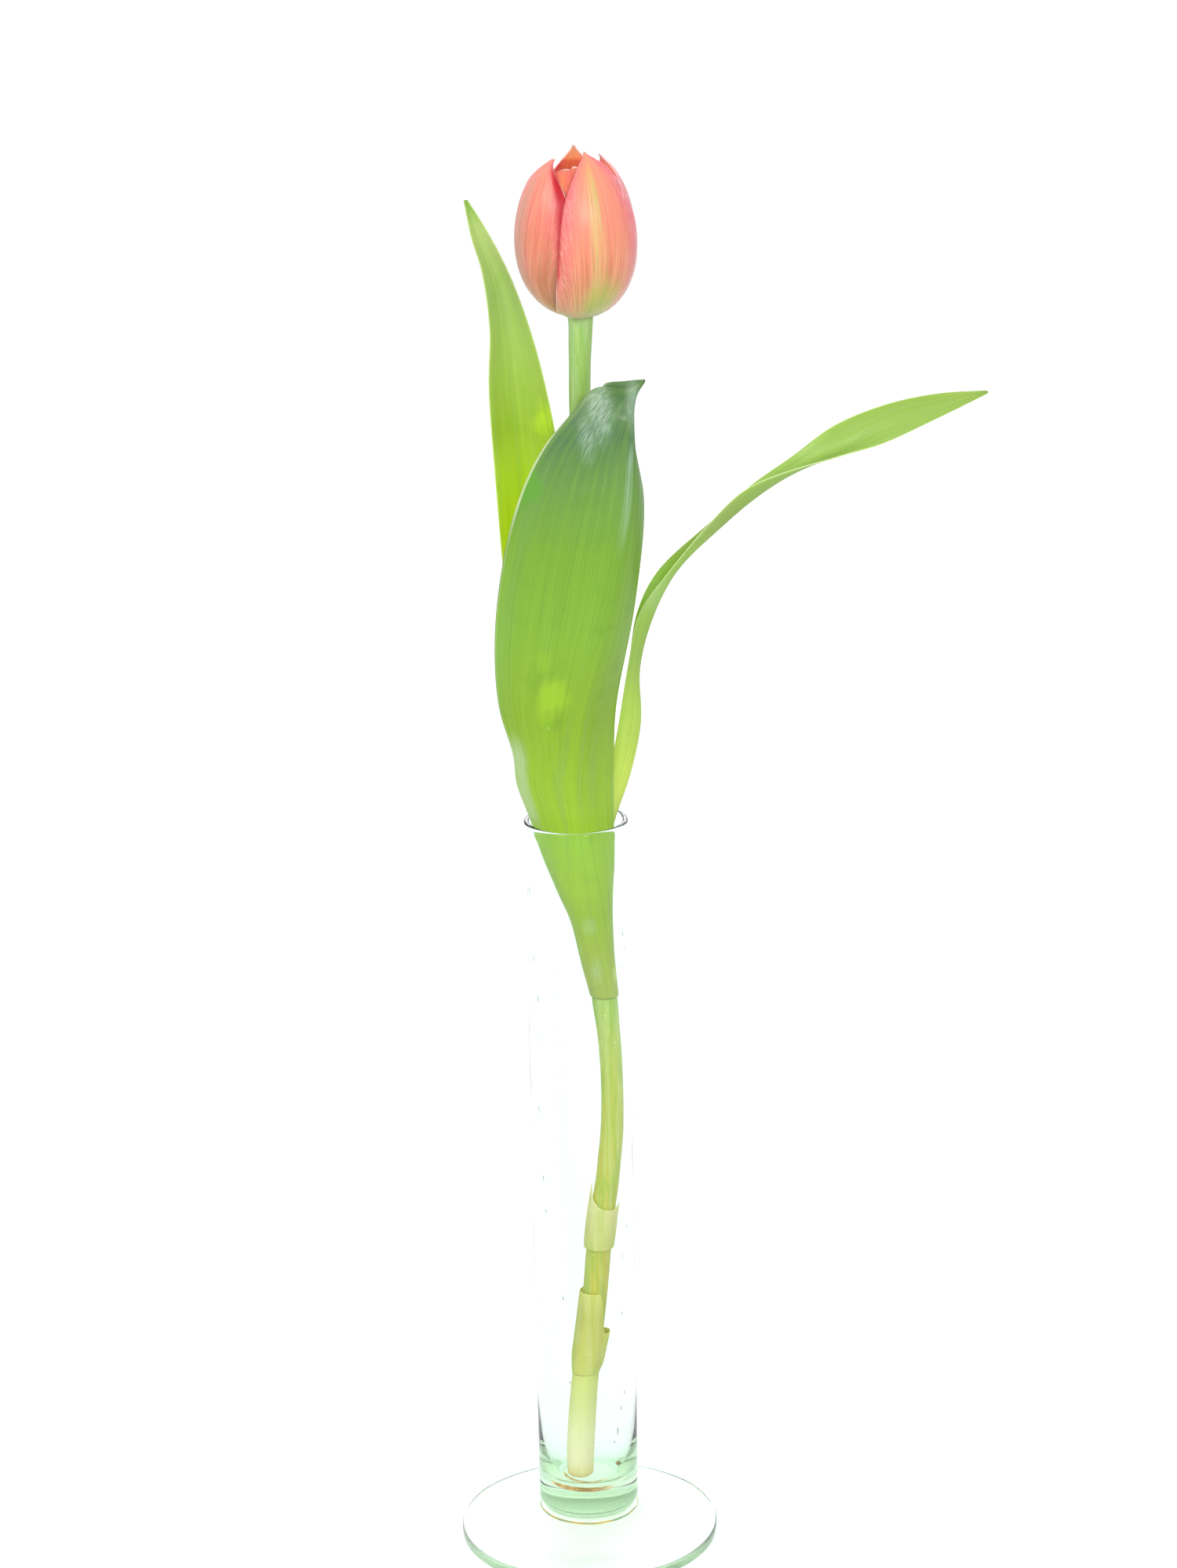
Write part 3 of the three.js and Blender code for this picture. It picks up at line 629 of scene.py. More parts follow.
def film(name, radii, z, bearings, thick, material):
    """A dried film on a ring-shaped stretch of the glass, between two radii and two bearings, at
    the height z(radius). It tapers to both ends."""
    def place(s, t):
        bearing = math.radians(blend(*bearings, (s + 1) / 2))
        taper = math.sin(math.pi * (s + 1) / 2) ** 0.5 if abs(s) < 1 else 0.0
        reach = blend(*radii, 0.5 + (t - 0.5) * max(taper, 0.06))
        reach += 0.35 * noise.noise(Vector((bearing * 4, t * 2, 3.0)))
        return reach * math.sin(bearing), -reach * math.cos(bearing), z(reach)

    piece = blade(10, 48, place, lambda s, t: 0.0, lambda s, t: thick)
    return finished(piece, name, material, "sheath")


def crumb():
    """A crumb of dried plant matter, stuck low on the tube's inner wall."""
    reach, height = 15.4, 33.5
    turn = math.radians(44)
    fresh()
    bpy.ops.mesh.primitive_ico_sphere_add(subdivisions=3, radius=0.8 * MM)
    piece = bpy.context.object
    for vertex in piece.data.vertices:
        lump = 1 + 0.45 * noise.noise(vertex.co / (0.7 * MM))
        x, y, z = vertex.co * lump
        wide, deep = x * 1.3, y * 0.45 - reach * MM
        vertex.co = (wide * math.cos(turn) - deep * math.sin(turn),
                     wide * math.sin(turn) + deep * math.cos(turn), z + height * MM)
    matter = small_matter("dried_plant_crumb", "#4E5A2C", "#B8763E", 0.6, 0.9)
    return finished(piece, "wall_crumb", matter, "sheath")


# The stem, the leaves and the sheaths

# The stem's levels, from its cut end up: its centre's x, y and z, and its radius.
STEM = [
    [-3.4, 0, FLOOR_HEIGHT + 0.3, 5.3], [-3.1, 0, 32, 5.45], [-2.0, 0, 49, 5.35], [-0.6, 0, 65, 5.1],
    [1.6, 0.2, 82, 4.85], [3.9, 0.3, 101, 4.75], [5.8, 0.6, 121, 4.7], [7.3, 0.8, 133, 4.6],
    [8.9, 1, 143, 4.5], [10.1, 1, 153, 4.4], [11.3, 1, 165, 4.35], [11.7, 1, 178, 4.25],
    [11.5, 1, 192, 4.25], [10.7, 1, 204.5, 4.35], [9.9, 1, 213, 4.7], [9.5, 1, 217, 4.85],
    [9.1, 1, 222, 4.5], [7.8, 1, 234, 4.1], [6.8, 1, 248, 4.05], [6.3, 1, 270, 4.05],
    [6.0, 1, 300, 4.15], [5.5, 0.8, 350, 4.05], [4.8, 0.4, 400, 3.95], [4.4, 0.1, 447, 3.85],
    [4.7, 0, 460, 3.95], [5.1, 0, 471, 4.3], [5.1, 0, 475, 4.6], [4.9, 0, 482, 4.5],
    [4.8, 0, 485, 3.9], [4.75, 0, 486, 3.2],
]


def stem_at(z):
    """The stem's centre and radius at a height."""
    upper = next((k for k, level in enumerate(STEM) if level[2] >= z and k), len(STEM) - 1)
    low, high = STEM[upper - 1], STEM[upper]
    share = (z - low[2]) / (high[2] - low[2])
    centre = spline([level[:3] for level in STEM], (upper - 1 + share) / (len(STEM) - 1))
    return centre[0], centre[1], blend(low[3], high[3], share)


def round_stem(z, bearing, radius):
    """A point round the stem, with the bearing in degrees from the viewer's side towards +X."""
    x, y, _ = stem_at(z)
    turn = math.radians(bearing)
    return [x + radius * math.sin(turn), y - radius * math.cos(turn), z]


def clasp(z, facing, wrap, radius):
    """The left margin, midrib and right margin where a leaf's base clasps the stem."""
    return [round_stem(z, facing + turn, radius) for turn in (-wrap, 0, wrap)]


# A leaf's stations, from its base to its tip: its left margin, its midrib and its right margin.
LEAF_FRONT = [
    clasp(219, 0, 150, 5.35),
    [[2, 4.2, 233], [7, -5.4, 233], [12.2, 4.2, 233]],
    [[-1.8, 2.8, 249], [4.6, -7.2, 247], [12.3, 2.4, 249]],
    [[-7, 1, 260], [2.6, -9.6, 260], [13, 1, 260]],
    [[-11.5, -1, 271.5], [1.5, -11.2, 274.5], [13.8, -1.5, 271]],
    [[-16.1, -3, 287], [0.5, -13, 289.5], [14, -2.2, 287]],
    [[-21.2, -4.5, 302], [-1, -15, 306], [14, -3, 301.5]],
    [[-22.2, -5.4, 313.5], [0, -16.4, 317], [14.4, -3.2, 312.5]],
    [[-27.3, -7, 333.5], [3.5, -18.6, 336.5], [15.5, -4, 332]],
    [[-27, -9, 370.5], [13.5, -20, 373], [22.5, -7, 369]],
    [[-19.5, -11, 407], [20.8, -19.6, 409], [26.5, -9, 405.5]],
    [[-9.5, -13, 429], [22, -18.6, 425.5], [25, -9, 418.5]],
    [[0.5, -14, 441.5], [22.9, -17, 437.5], [17, -9.5, 436]],
    [[9.8, -13.5, 451.2], [23.2, -15, 444], [12.5, -10.5, 451.4]],
    [[20, -12.8, 450.6], [24.5, -12.5, 448.5], [20.5, -10.2, 452.7]],
    [[27, -10.5, 453], [27.5, -10, 452.6], [27.5, -9.6, 453]],
]
LEAF_LEFT = [
    clasp(256, -140, -140, 5.2),
    clasp(272, -140, -105, 6.9),
    [[-6, 0, 290], [-2.5, 9.5, 290], [8.5, 10, 290]],
    [[-13, 3, 315], [-8.5, 13, 315], [4, 10, 315]],
    [[-21.5, 5, 350], [-14, 16, 350], [0, 9, 350]],
    [[-25, 7, 385], [-14.5, 17, 382], [-2, 9, 384]],
    [[-27, 8, 417], [-15, 16, 415], [-3, 9, 416.5]],
    [[-28, 8, 446.5], [-17.5, 15, 444], [-7.5, 9, 446]],
    [[-27, 8, 468.5], [-20, 14, 467], [-12.5, 9, 468]],
    [[-29.5, 8, 488.5], [-24, 12, 487], [-19, 8, 487]],
    [[-33, 8, 501], [-30, 10, 501.5], [-26.5, 8, 502]],
    [[-35, 8, 514.5], [-34.5, 8.3, 514.5], [-34, 8, 514.5]],
]
LEAF_RIGHT = [
    clasp(270, 80, 135, 5.2),
    clasp(277, 82, 95, 5.9),
    [[9.2, -4.6, 285], [13.4, 0.8, 285], [11, 6.8, 286]],
    [[12.4, 0.4, 304], [20, 3.5, 304], [17, 9, 305]],
    [[16, -1, 323.5], [24, 2, 324], [19.5, 8, 323.5]],
    [[20, -3, 347.5], [24, 2.5, 344], [20.5, 8, 344.5]],
    [[24, -4, 365.5], [29, 1, 363.5], [23.5, 6, 364]],
    [[33.5, -5, 380], [38, 0, 381], [31, 5.5, 379]],
    [[49.5, -5, 399], [53.8, 0.5, 396.5], [50, 5.5, 397]],
    [[63, -5, 411.5], [67, 1, 407.5], [64, 6, 409.5]],
    [[80, -4.5, 418.5], [80.3, 1, 416], [79, 6, 420]],
    [[97, -3.5, 422.5], [97.5, 1.5, 424], [94.5, 4.5, 432]],
    [[111, -2, 426], [113.5, 1.5, 433], [114, 3, 440]],
    [[130, -1, 434.5], [131.5, 1, 439], [131.5, 2, 443.5]],
    [[149, -0.4, 443.5], [149.2, 0, 444], [149, 0.4, 444.5]],
]


def round_across(left, mid, right, s):
    """A point across a leaf, on the circle through its margins and midrib."""
    ab, ac = mid - left, right - left
    normal = np.cross(ab, ac)
    twice = 2 * normal @ normal
    centre = left + (np.cross(normal, ab) * (ac @ ac) + np.cross(ac, normal) * (ab @ ab)) / twice
    normal = normal / np.linalg.norm(normal)
    arm = mid - centre
    margin = (left if s < 0 else right) - centre
    turn = math.atan2(np.cross(arm, margin) @ normal, arm @ margin)
    if s > 0 and turn < 0:
        turn += 2 * math.pi
    if s < 0 and turn > 0:
        turn -= 2 * math.pi
    turn *= abs(s)
    return centre + arm * math.cos(turn) + np.cross(normal, arm) * math.sin(turn)


def keeled_across(left, mid, right, s):
    """A point across a leaf, on two bends that meet smoothly at its midrib."""
    to_left, to_right = left - mid, right - mid
    level = to_right / np.linalg.norm(to_right) - to_left / np.linalg.norm(to_left)
    level /= np.linalg.norm(level)
    margin = left if s < 0 else right
    reach = np.linalg.norm(to_left if s < 0 else to_right)
    knee = mid + level * KEEL_REACH * math.copysign(reach, s)
    w = abs(s)
    return mid * (1 - w) ** 2 + knee * 2 * w * (1 - w) + margin * w * w


def leaf(name, stations, rows, columns, keeled_from, material, swell):
    """A leaf through its stations: round about the stem at its base, then folded at its midrib
    from the share keeled_from of its length on. Its base and its rim are thinner."""
    rails = [[station[k] for station in stations] for k in range(3)]
    found = {}

    def place(s, t):
        if t not in found:
            found[t] = [spline(rail, t) for rail in rails]
        left, mid, right = found[t]
        keel = smooth(t, keeled_from, keeled_from + 0.15)
        keeled = keeled_across(left, mid, right, s)
        return blend(round_across(left, mid, right, s), keeled, keel) if keel < 1 else keeled

    def thickness(s, t):
        hem = blend(0.35, 1, smooth(t, 0, 0.05))
        return blend(LEAF_THICK, MARGIN_THICK, max(s * s, t ** 6)) * hem

    piece = blade(rows, columns, place, swell, thickness)
    return finished(piece, name + "_blade", material, "leaf", [name])


def front_swell(s, t):
    """Shallow ribs, and a soft wave in the left margin above the vase."""
    ribs = 0.07 * math.cos(24 * s) * (1 - s * s)
    wave = 0.25 * math.sin(t * 46) * smooth(-s, 0.7, 1) * (smooth(t, 0.3, 0.4) - smooth(t, 0.55, 0.75))
    return ribs + wave


def left_swell(s, t):
    """Shallow ribs, and a long wave in both margins."""
    ribs = 0.06 * math.cos(20 * s) * (1 - s * s)
    return ribs + 0.35 * math.sin(t * 17 + s) * s * s * smooth(t, 0.2, 0.4)


def right_swell(s, t):
    """Shallow ribs, and a short wave in both margins."""
    ribs = 0.05 * math.cos(18 * s) * (1 - s * s)
    return ribs + 0.25 * math.sin(t * 31 + 2 * s) * s * s * smooth(t, 0.3, 0.5)


def scale_sheath():
    """The small dry scale, which hugs the near side of the stem and loosens at its top."""
    def place(s, t):
        across = (s + 1) / 2
        bearing = blend(-105, 95, across)
        top = blend(144, 136, across) - 5 * math.sin(math.pi * across)
        top += 0.5 * noise.noise(Vector((across * 9, 0, 1)))
        z = blend(118, top, t)
        puff = 0.35 * math.sin(math.pi * t) + 0.5 * smooth(t, 0.6, 1) * smooth(abs(s), 0.75, 1)
        return round_stem(z, bearing, stem_at(z)[2] + 0.75 + puff)

    piece = blade(16, 30, place, lambda s, t: 0.05 * math.cos(30 * s),
                  lambda s, t: blend(SHEATH_THICK, SHEATH_TOP_THICK, t))
    return finished(piece, "stem_scale_sheath", SHEATH, "sheath", ["stem_scale"])


def collar_sheath():
    """The dry collar round the stem. Its top is torn away behind and to the right, where a flap of
    it stands off the stem."""
    def place(s, t):
        bearing = 180 * s
        turn = (bearing + 150) % 360 - 150
        gone = smooth(turn, 20, 62) - smooth(turn, 150, 195)
        ragged = 0.5 * noise.noise(Vector((math.cos(math.radians(bearing)) * 3,
                                           math.sin(math.radians(bearing)) * 3, 5)))
        z = blend(67, 100.5 - 17 * gone + ragged, t)
        puff = 0.25 * math.sin(3 * math.radians(turn)) ** 2 * smooth(t, 0, 0.3)
        puff += 1.6 * max(0, t - 0.1) * smooth(turn, 45, 75) * (1 - smooth(turn, 105, 140))
        return round_stem(z, bearing, stem_at(z)[2] + blend(0.3, 0.8, smooth(t, 0, 0.25)) + puff)

    def thickness(s, t):
        return blend(SHEATH_THICK, SHEATH_TOP_THICK, t) * blend(0.3, 1, smooth(t, 0, 0.15))

    piece = blade(20, 60, place, lambda s, t: 0.0, thickness)
    return finished(piece, "stem_collar_sheath", SHEATH, "sheath", ["stem_collar"])


def stem():
    """The stem, ringed up through its levels, with its cut edge broken and shallow ridges."""
    rows = 150
    levels = []
    for k in range(rows + 1):
        z = blend(STEM[0][2], STEM[-1][2], k / rows)
        x, y, radius = stem_at(z)
        levels.append([x, y, z, radius])
    first = list(levels[0])
    first[3] *= 0.96
    second = list(levels[0])
    second[2] += 0.4
    piece = ringed([first, second] + levels[1:], 36)
    for vertex in piece.data.vertices:
        z = (vertex.co.z + piece.location.z) / MM
        x, y, radius = stem_at(z)
        out = Vector((vertex.co.x + piece.location.x - x * MM, vertex.co.y + piece.location.y - y * MM, 0))
        if out.length > 1e-5:
            turn = math.atan2(out.y, out.x)
            ridge = 0.07 * math.cos(5 * turn + z / 90) + 0.1 * noise.noise(
                Vector((math.cos(turn), math.sin(turn), z / 9)))
            vertex.co += out.normalized() * ridge * MM
    return finished(piece, "stem_stalk", STALK, "stem", ["stem"])

# The bloom

# What a petal may have of its own. Facing and tip are the bearings of its foot and its tip. Left
# and right are its half widths. Depth is how far it lies inside the egg, sink how much deeper its
# foot lies, and tuck how far a margin slips under its neighbour. Top is the latitude that its tip
# reaches. Point is how blunt its tip is, and spread how far round its foot may reach. Roll and lip
# turn a margin in and out, flare and lift move its upper part out and up, nod leans its tip to the
# right, and keel is the height of its midrib.
PLAIN = {"depth": 0.5, "sink": 0, "tuck_left": 0, "tuck_right": 0, "point": 1.7, "spread": 56,
         "roll_left": 0, "roll_right": 0, "lip_right": 0, "flare": 0, "lift": 0, "nod": 0, "keel": 0}
OUTER = [
    {"name": "petal_outer_right", "facing": 22, "tip": 28, "left": 15.7, "right": 24, "top": 73.5,
     "nod": 2.2, "keel": 0.35, "roll_left": 1.1, "lip_right": 0.25},
    {"name": "petal_outer_left", "facing": -72, "tip": -50, "left": 23, "right": 27.6, "top": 66,
     "tuck_right": 1.6, "sink": 0.7, "roll_right": 0.6},
    {"name": "petal_outer_back", "facing": 134, "tip": 120, "left": 33, "right": 22, "top": 62,
     "nod": 1.6, "flare": 0.5, "tuck_left": 0.5, "sink": 2.4, "keel": 0.2},
]
INNER = [
    {"name": "petal_inner_front", "facing": -25, "tip": -14, "left": 17, "right": 16, "depth": 3.5,
     "top": 62, "sink": 2.2, "spread": 44, "point": 0.6},
    {"name": "petal_inner_right", "facing": 78, "tip": 78, "left": 16, "right": 16, "depth": 3.1,
     "top": 58, "sink": 2.2, "spread": 44, "point": 0.8},
    {"name": "petal_inner_back", "facing": 188, "tip": 170, "left": 17, "right": 18, "depth": 3.1,
     "top": 73, "sink": 2.2, "spread": 44, "lift": 3.8, "point": 1.5},
]
CORE = [
    {"name": f"petal_core_{k + 1}", "facing": facing, "tip": facing, "left": 13, "right": 13,
     "spread": 44, "depth": 4.6 if k < 3 else 6.1, "sink": 2 if k < 3 else 1.8,
     "top": 58 if k < 3 else 52, "point": 0.8}
    for k, facing in enumerate([-85, 35, 155, -25, 95, 215])
]
CORE[1].update(tip=5, lift=3)


def petal_shape(v, point):
    """A petal's half width at a share of its length, as a share of its greatest half width."""
    if v < PETAL_WIDEST:
        return 1 - 0.3 * ((PETAL_WIDEST - v) / PETAL_WIDEST) ** 2
    return (1 - ((v - PETAL_WIDEST) / (1 - PETAL_WIDEST)) ** 3) ** point


def girth(latitude):
    """The egg's radius at a latitude, as a share of its greatest radius."""
    return math.cos(latitude) ** (EGG_FULL if latitude < 0 else EGG_SLIM)


def leaned(x, y, z):
    """A point of the bloom in the whole object's frame."""
    c, s = math.cos(BLOOM_LEAN), math.sin(BLOOM_LEAN)
    return x * c + z * s + BLOOM_X, y, -x * s + z * c + BLOOM_BASE


def petal(form, rows, columns, material, slot):
    """A petal laid on the bloom's egg from its foot to its tip, with fine pleats and a keel."""
    form = {**PLAIN, **form}
    tucks = [form["tuck_left"], form["tuck_right"]]
    deepest = form["depth"] + form["sink"] + max(tucks)
    foot = -math.acos((PETAL_FOOT_RADIUS / (EGG_RADIUS - deepest)) ** (1 / EGG_FULL))
    phase = form["facing"] * 0.7

    def place(s, v):
        latitude = blend(foot, math.radians(form["top"]), v)
        width = max(0.5, form["left" if s < 0 else "right"] * petal_shape(v, form["point"]))
        ring = EGG_RADIUS * girth(latitude)
        turn = min(math.degrees(width / ring), form["spread"] + 30 * v) * s
        bearing = math.radians(form["facing"] + (form["tip"] - form["facing"]) * v ** 3 + turn)
        under = tucks[0 if turn < 0 else 1] * smooth(abs(turn), 18, 38)
        inset = form["depth"] + under + form["sink"] * (1 - smooth(v, 0.05, 0.4))
        inset += form["roll_left"] * smooth(-s, 0.72, 1) * smooth(v, 0.3, 0.6)
        inset += form["roll_right"] * smooth(s, 0.72, 1) * smooth(v, 0.2, 0.6)
        inset -= form["lip_right"] * smooth(s, 0.85, 1) * smooth(v, 0.5, 0.8)
        reach = (EGG_RADIUS - inset) * girth(latitude)
        reach += form["flare"] * (smooth(v, 0.55, 0.8) - smooth(v, 0.85, 1.05))
        rise = (EGG_LOWER if latitude < 0 else EGG_UPPER) - inset
        z = EGG_LOWER + rise * math.sin(latitude) + form["lift"] * v ** 6
        return leaned(reach * math.sin(bearing) + form["nod"] * v ** 9, -reach * math.cos(bearing), z)

    def swell(s, v):
        keel = form["keel"] * math.exp(-(s / 0.09) ** 2) * smooth(v, 0.05, 0.3) * smooth(-v, -1, -0.8)
        pleats = 0.06 * math.cos(26 * s / (0.45 + 0.55 * v) + phase) * (1 - s ** 4)
        edge = 0.18 * math.sin(19 * v + phase) * smooth(abs(s), 0.8, 1) * smooth(v, 0.3, 0.6)
        return keel + pleats + edge

    def thickness(s, v):
        return blend(PETAL_THICK, PETAL_MARGIN, max(s * s, v ** 5))

    piece = blade(rows, columns, place, swell, thickness)
    return finished(piece, form["name"] + "_blade", material, slot, [form["name"]])


def pistil():
    """The pistil: a column under a wider stigma, both three-lobed. A level is a height and a
    radius."""
    levels = [[0, 2.9], [1.5, 3.15], [3, 3.3], [7, 3.25], [12, 3.1], [14.5, 2.75], [16, 2.5], [16.8, 2.9],
              [17.5, 3.6], [18.6, 3.75], [20, 3.4], [20.7, 2.7], [21, 1.8]]
    base = RECEPTACLE_TOP + 0.3
    piece = ringed([[*leaned(0, 0, base + z), radius] for z, radius in levels], 36, 3, 0.1)
    applied(piece, "SUBSURF", levels=1, render_levels=1)
    return finished(piece, "pistil_column", PISTIL, "pistil", ["pistil"])


def stamens():
    """Six filaments on a ring, each with its long anther: one is modelled and copied round. A
    level is a height, its distance out and its radius."""
    bottom, inside, outside, tall = 10.3, 4.85, 6, 1.2
    levels = [[0.3, 5.4, 0.5], [4, 5.6, 0.5], [8, 5.9, 0.42], [8.6, 5.95, 0.55], [9.4, 6, 0.85],
              [13, 6.1, 0.95], [16.6, 6.3, 0.85], [17.6, 6.3, 0.6], [18, 6.3, 0.4]]
    first = ringed([[out, 0, bottom + z, radius] for z, out, radius in levels], 12)
    applied(first, "SUBSURF", levels=1, render_levels=1)
    in_place(first)
    first.rotation_euler.z = math.radians(30)
    filaments = [first]
    for k in range(1, 6):
        fresh()
        first.select_set(True)
        bpy.context.view_layer.objects.active = first
        bpy.ops.object.duplicate()
        bpy.context.object.rotation_euler.z = math.radians(30 + 60 * k)
        filaments.append(bpy.context.object)
    ring = turned([(inside, bottom), (outside, bottom), (outside, bottom + tall), (inside, bottom + tall),
                   (inside, bottom)], 36)
    ring = joined([ring, *filaments])
    for vertex in ring.data.vertices:
        vertex.co = Vector(leaned(*(vertex.co / MM))) * MM
    return finished(ring, "stamen_ring", POLLEN, "stamen", ["stamens"])


# The plant's finishes

STALK = stem_tissue("tulip_stem", [
    (22, "#DDB88A"), (24.5, "#E6D6A0"), (31, "#E8DCBA"), (42, "#E0DAAE"), (54, "#D2D08E"), (66, "#D0CE78"),
    (84, "#C6BC48"), (104, "#C2B038"), (135, "#C0B440"), (175, "#B8B648"), (205, "#B2B858"),
    (219, "#A6BA5E"), (290, "#A3BE62"), (400, "#9FBB6C"), (450, "#96B668"), (470, "#94B96E"),
    (486, "#C6D186")], ["#84AE2C", "#BECF90"], mottled_from=66)
SHEATH = stem_tissue("dry_tulip_sheath", [
    (66, "#E2DC7C"), (74, "#DAD46E"), (90, "#D2CA66"), (101, "#E0D67E"), (118, "#DAD684"),
    (132, "#E2DA9C"), (145, "#E6DEB6")], ["#C6CE60", "#E2E2A6"], 0.8, 0.5)
PISTIL = stem_tissue("tulip_pistil", [(486, "#D8E29A"), (500, "#C4D482"), (508, "#D8D890")],
                     ["#B5C86A", "#E4E8B0"], 0.7, 0.2)
POLLEN = small_matter("pollen_covered_anther", "#B88A32", "#E0C66A", 0.8, 0.5)

# A leaf's spots are their centres, half widths, half heights, colours and shares. Its patches of
# painted highlight are the same without a colour.
FRONT_GREENS = [(219, "#ACB250"), (250, "#A0B426"), (288, "#A0C428"), (330, "#88AC1C"), (360, "#81AC2E"),
                (392, "#76A22A"), (415, "#67923F"), (435, "#4E7448"), (453, "#50743E")]
FRONT_SPOTS = [
    ((-8.5, -17, 339), 7, 13, "#A8D028", 0.5), ((-9, -17, 328.5), 2.2, 3.4, "#86C012", 0.8),
    ((-9.1, -17, 327.6), 0.5, 0.6, "#F4F8E8", 0.95), ((-15.5, -15, 416), 6, 9, "#5FA02C", 0.8),
    ((9.5, -19, 378), 0.8, 4.5, "#5C9C1C", 0.7), ((3, -18, 386), 0.7, 3.5, "#69A63A", 0.5),
    ((9.5, -12, 287.5), 0.5, 0.7, "#9A5A32", 0.9), ((13.5, -4, 228), 1.6, 4, "#C9D27A", 0.8),
]
# Painted highlights on the front leaf's waxy skin, near its top and in the vase; its keel gets a painted
# highlight too.
FRONT_HIGHLIGHTS = [((11.5, -15, 443), 5, 12, 0.46), ((7, -15, 434), 4, 9, 0.34), ((23, -13, 444), 3, 10, 0.5),
             ((4, -6, 249), 3, 4, 0.25), ((6.5, -6, 230), 2.4, 6, 0.25)]
FRONT_SKIN = leaf_tissue(
    "waxy_tulip_leaf", 3, FRONT_GREENS, 44, ("#5E8E24", "#A0C63E", "#7FA862"), FRONT_SPOTS, FRONT_HIGHLIGHTS,
    keel=(388, 437, 0.5), strip=(284, 326), rim_from=392, see_through=0.34)
LEFT_GREENS = [(256, "#CCE03A"), (300, "#DCEB44"), (350, "#C6D85A"), (385, "#E0EE4C"), (410, "#CCE24A"),
               (430, "#B1C84C"), (480, "#B8CC8A"), (505, "#C2D294"), (515, "#9CC05C")]
LEFT_SPOTS = [((-9, 12, 436), 4, 7, "#D2EA3A", 0.7), ((-16, 14, 388), 5, 9, "#9AD010", 0.5)]
LEFT_SKIN = leaf_tissue(
    "backlit_tulip_leaf", 21, LEFT_GREENS, 44, ("#98C42E", "#CCE67A", "#B2D088"), LEFT_SPOTS,
    see_through=0.68)
RIGHT_GREENS = [(270, "#E4E68C"), (300, "#DCE878"), (330, "#C6DC70"), (350, "#B2CC6A"), (375, "#B4D468"),
                (400, "#A8BC6C"), (420, "#AAC66A"), (445, "#A2BA58")]
# Painted light: a pale patch on the inner face of the right leaf's fold, which lies in shade.
RIGHT_PAINTED_LIGHT = [((29, 2, 374), 6, 10, "#C4DAA8", 0.4)]
RIGHT_SKIN = leaf_tissue(
    "folded_tulip_leaf", 37, RIGHT_GREENS, 26, ("#90B84A", "#C4DC84", "#B2CCA0"), RIGHT_PAINTED_LIGHT,
    see_through=0.6)

CORAL = [(0.0, "#C6E484"), (0.2, "#CCDC84"), (0.31, "#D2B46C"), (0.42, "#E09468"), (0.6, "#EA8A74"),
         (0.85, "#F4987E"), (1.0, "#FBB694")]
BROWNED_CORAL = [(0.0, "#C6E090"), (0.16, "#CCD486"), (0.26, "#CFA872"), (0.38, "#C6765A"),
                 (0.6, "#CE6854"), (0.85, "#EC8479"), (1.0, "#F8A390")]
ORANGE = [(0.0, "#E2E29C"), (0.1, "#F4C880"), (0.3, "#F2906C"), (0.7, "#EE745A"), (1.0, "#F89886")]
# The back inner petal's colours: below its pale tip it is painted deep red as shade, in the slot under the
# front inner petal and down inside the bloom.
PAINTED_SHADE_UNDER_PALE_TIP = [(0.0, "#D8C080"), (0.2, "#D85038"), (0.84, "#C8242A"), (0.88, "#DC4830"),
                     (0.902, "#FFCA98"), (0.97, "#FFDEC0"), (1.0, "#FFF0E2")]
INNER_SKIN = petal_tissue(
    "silky_tulip_petal_orange", 5.0, ORANGE, (0.0, 0.12, "#F0B45C", "#E8A24C", 0.6), (0.45, 0.45),
    orange="#F79C6C", pink="#F2585A", umber=0.2, see_through=0.58)
PETAL_SKINS = {
    # Painted shade, deep red, along its left margin, in the seam with the outer left petal.
    "petal_outer_right": petal_tissue(
        "silky_tulip_petal_flamed", 1.0, CORAL, (-0.05, 0.17, "#DCC47C", "#ADB454", 0.9), (0.6, 0.95),
        seam_shade_shares=(0.95, 0.0), blotch=((0.04, 0.17), (0.24, 0.22), "#B8C65A", 0.88)),
    # Painted shade, deep red, along its right margin, in the seam. A pale wash on its left flank is partly
    # its own cream and partly a painted sheen.
    "petal_outer_left": petal_tissue(
        "silky_tulip_petal_browned", 2.0, BROWNED_CORAL, (0.0, 0.16, "#D4A286", "#B48E70", 0.7),
        (0.5, 0.5), seam_shade_shares=(0.0, 1.0), umber=0.85, cream_and_sheen=0.75,
        blotch=((0.27, 0.3), (0.16, 0.26), "#BE8050", 0.7)),
    "petal_outer_back": petal_tissue(
        "silky_tulip_petal_pink", 3.0, CORAL, (0.0, 0.14, "#DCC07C", "#B0B058", 0.8), (1.0, 0.9),
        orange="#FFBCAC", pink="#FFBCCE", see_through=0.62),
    # Painted shade, deep red, under its pale tip.
    "petal_inner_back": petal_tissue(
        "silky_tulip_petal_painted_shade", 6.0, PAINTED_SHADE_UNDER_PALE_TIP, (0.0, 0.12, "#F0A058", "#E8923C", 0.5),
        (0.3, 0.3), orange="#FFC08A", pink="#F88A7C", umber=0.0, see_through=0.58),
}

# The whole object

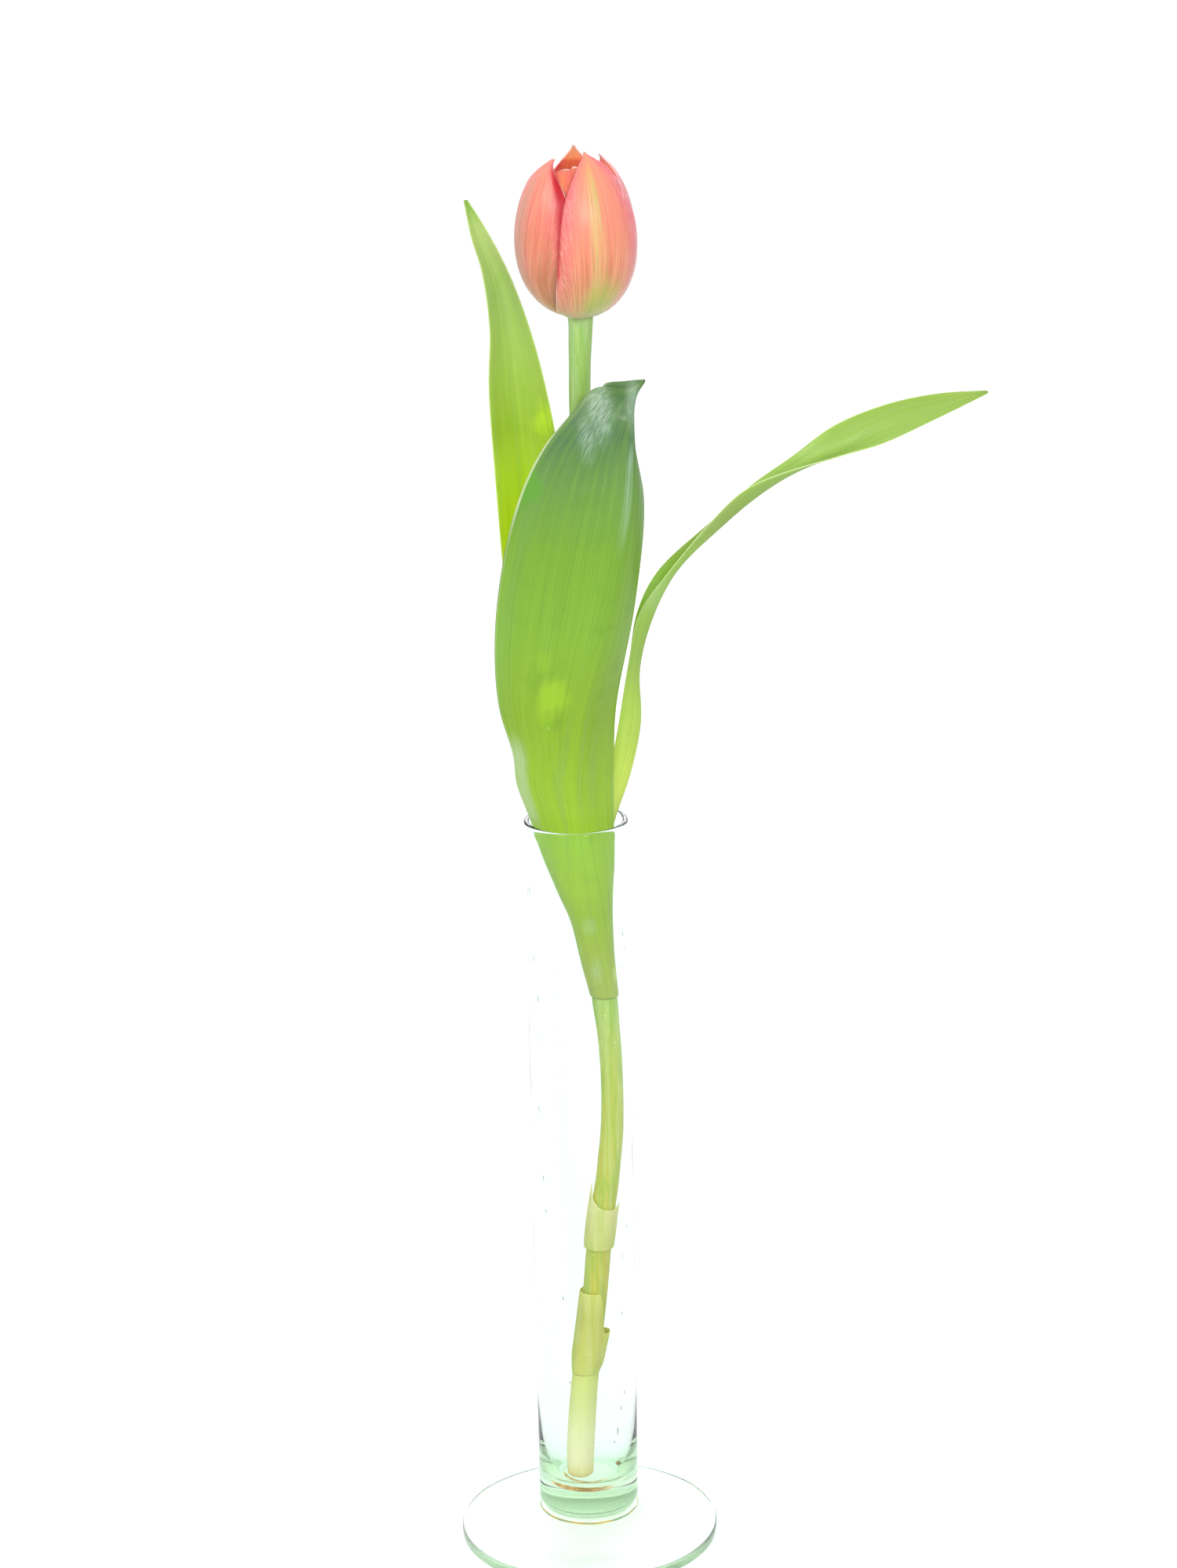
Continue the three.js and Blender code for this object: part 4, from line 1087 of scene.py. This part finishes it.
leaf("leaf_front", LEAF_FRONT, 110, 24, 0.2, FRONT_SKIN, front_swell)
leaf("leaf_left", LEAF_LEFT, 84, 18, 0.15, LEFT_SKIN, left_swell)
leaf("leaf_right", LEAF_RIGHT, 120, 18, 0.12, RIGHT_SKIN, right_swell)
stem()
scale_sheath()
collar_sheath()
for forms, rows, columns, petal_slot in ((OUTER, 44, 32, "petal"), (INNER, 32, 22, "petal_inner"),
                                         (CORE, 22, 16, "petal_inner")):
    for form in forms:
        petal(form, rows, columns, PETAL_SKINS.get(form["name"], INNER_SKIN), petal_slot)
pistil()
stamens()
vase()
seeds()
film("floor_residue", (8.6, 12), lambda r: FLOOR_HEIGHT + 0.2 + 0.3 * smooth(r, 8.5, 11.5), (-85, 48),
     0.14, small_matter("dried_stem_sap", "#9C7A4C", "#E2B47C", 0.45, 2.2))
film("joint_stain", (18.1, 19), lambda r: FOOT_THICK + 6.9 + (18.7 - r) * 0.4, (-98, 98),
     0.16, small_matter("brown_line_in_joint", "#B89A58", "#7E9474", 0.5, 5))
crumb()

# The studio, in metres

fresh()
bpy.ops.mesh.primitive_circle_add(vertices=96, radius=9, fill_type="NGON", location=(0, 3, -0.3 * MM))
sweep = bpy.context.object
sweep.name = "studio_sweep"
bpy.ops.object.transform_apply(location=True)
sweep.data.materials.append(white_sweep())

world = bpy.data.worlds.new("white_studio")
bpy.context.scene.world = world
world.use_nodes = True
world.node_tree.nodes.clear()
sky = world.node_tree
towards = node(sky, "SeparateXYZ", {0: node(sky, "TexCoord").outputs["Generated"]})
overhead = where(sky, (towards.outputs[2], 0.15, 0.75))
shade = coated(sky, linear("#FBFDFF"), [("#CFD8D8", overhead)])
node(sky, "OutputWorld", {"Surface": node(sky, "Background", {"Color": shade, "Strength": 1.0})})


def softbox(name, place, target, width, height, power):
    """A softbox that faces its target. Its power is in watts. It isn't seen through glass."""
    fresh()
    bpy.ops.object.light_add(type="AREA", location=place)
    lamp = bpy.context.object
    lamp.name = name
    lamp.data.shape = "RECTANGLE"
    lamp.data.size = width
    lamp.data.size_y = height
    lamp.data.energy = power
    lamp.visible_transmission = False
    lamp.rotation_euler = (Vector(target) - Vector(place)).to_track_quat("-Z", "Y").to_euler()


softbox("key_softbox", (-1.0, -1.15, 1.45), (0, 0, 0.38), 0.9, 0.4, 19.5)
softbox("fill_softbox", (0.6, -1.45, 1.2), (0, 0, 0.35), 0.8, 0.4, 19)
softbox("back_softbox", (0.2, 1.6, 1.2), (0, 0, 0.35), 1.6, 1.2, 26)

# The camera as it was fitted to the photograph: its place, how far it looks down and leans, and
# its focal length in the picture's own pixels.
CAMERA_PLACE = (0.0049, -1.470, 0.766)
LOOKS_DOWN = math.radians(17.55)
LEANS = math.radians(1.08)
FOCAL_PIXELS = 5390
PICTURE_HEIGHT = 1999
SENSOR = 36
bpy.ops.object.camera_add()
camera = bpy.context.object
camera.data.sensor_width = SENSOR
camera.data.lens = FOCAL_PIXELS / PICTURE_HEIGHT * SENSOR
camera.matrix_world = (Matrix.Translation(CAMERA_PLACE)
                       @ Matrix.Rotation(math.pi / 2 - LOOKS_DOWN, 4, "X")
                       @ Matrix.Rotation(-LEANS, 4, "Z"))
bpy.context.scene.camera = camera
bpy.context.scene.view_settings.view_transform = "Standard"
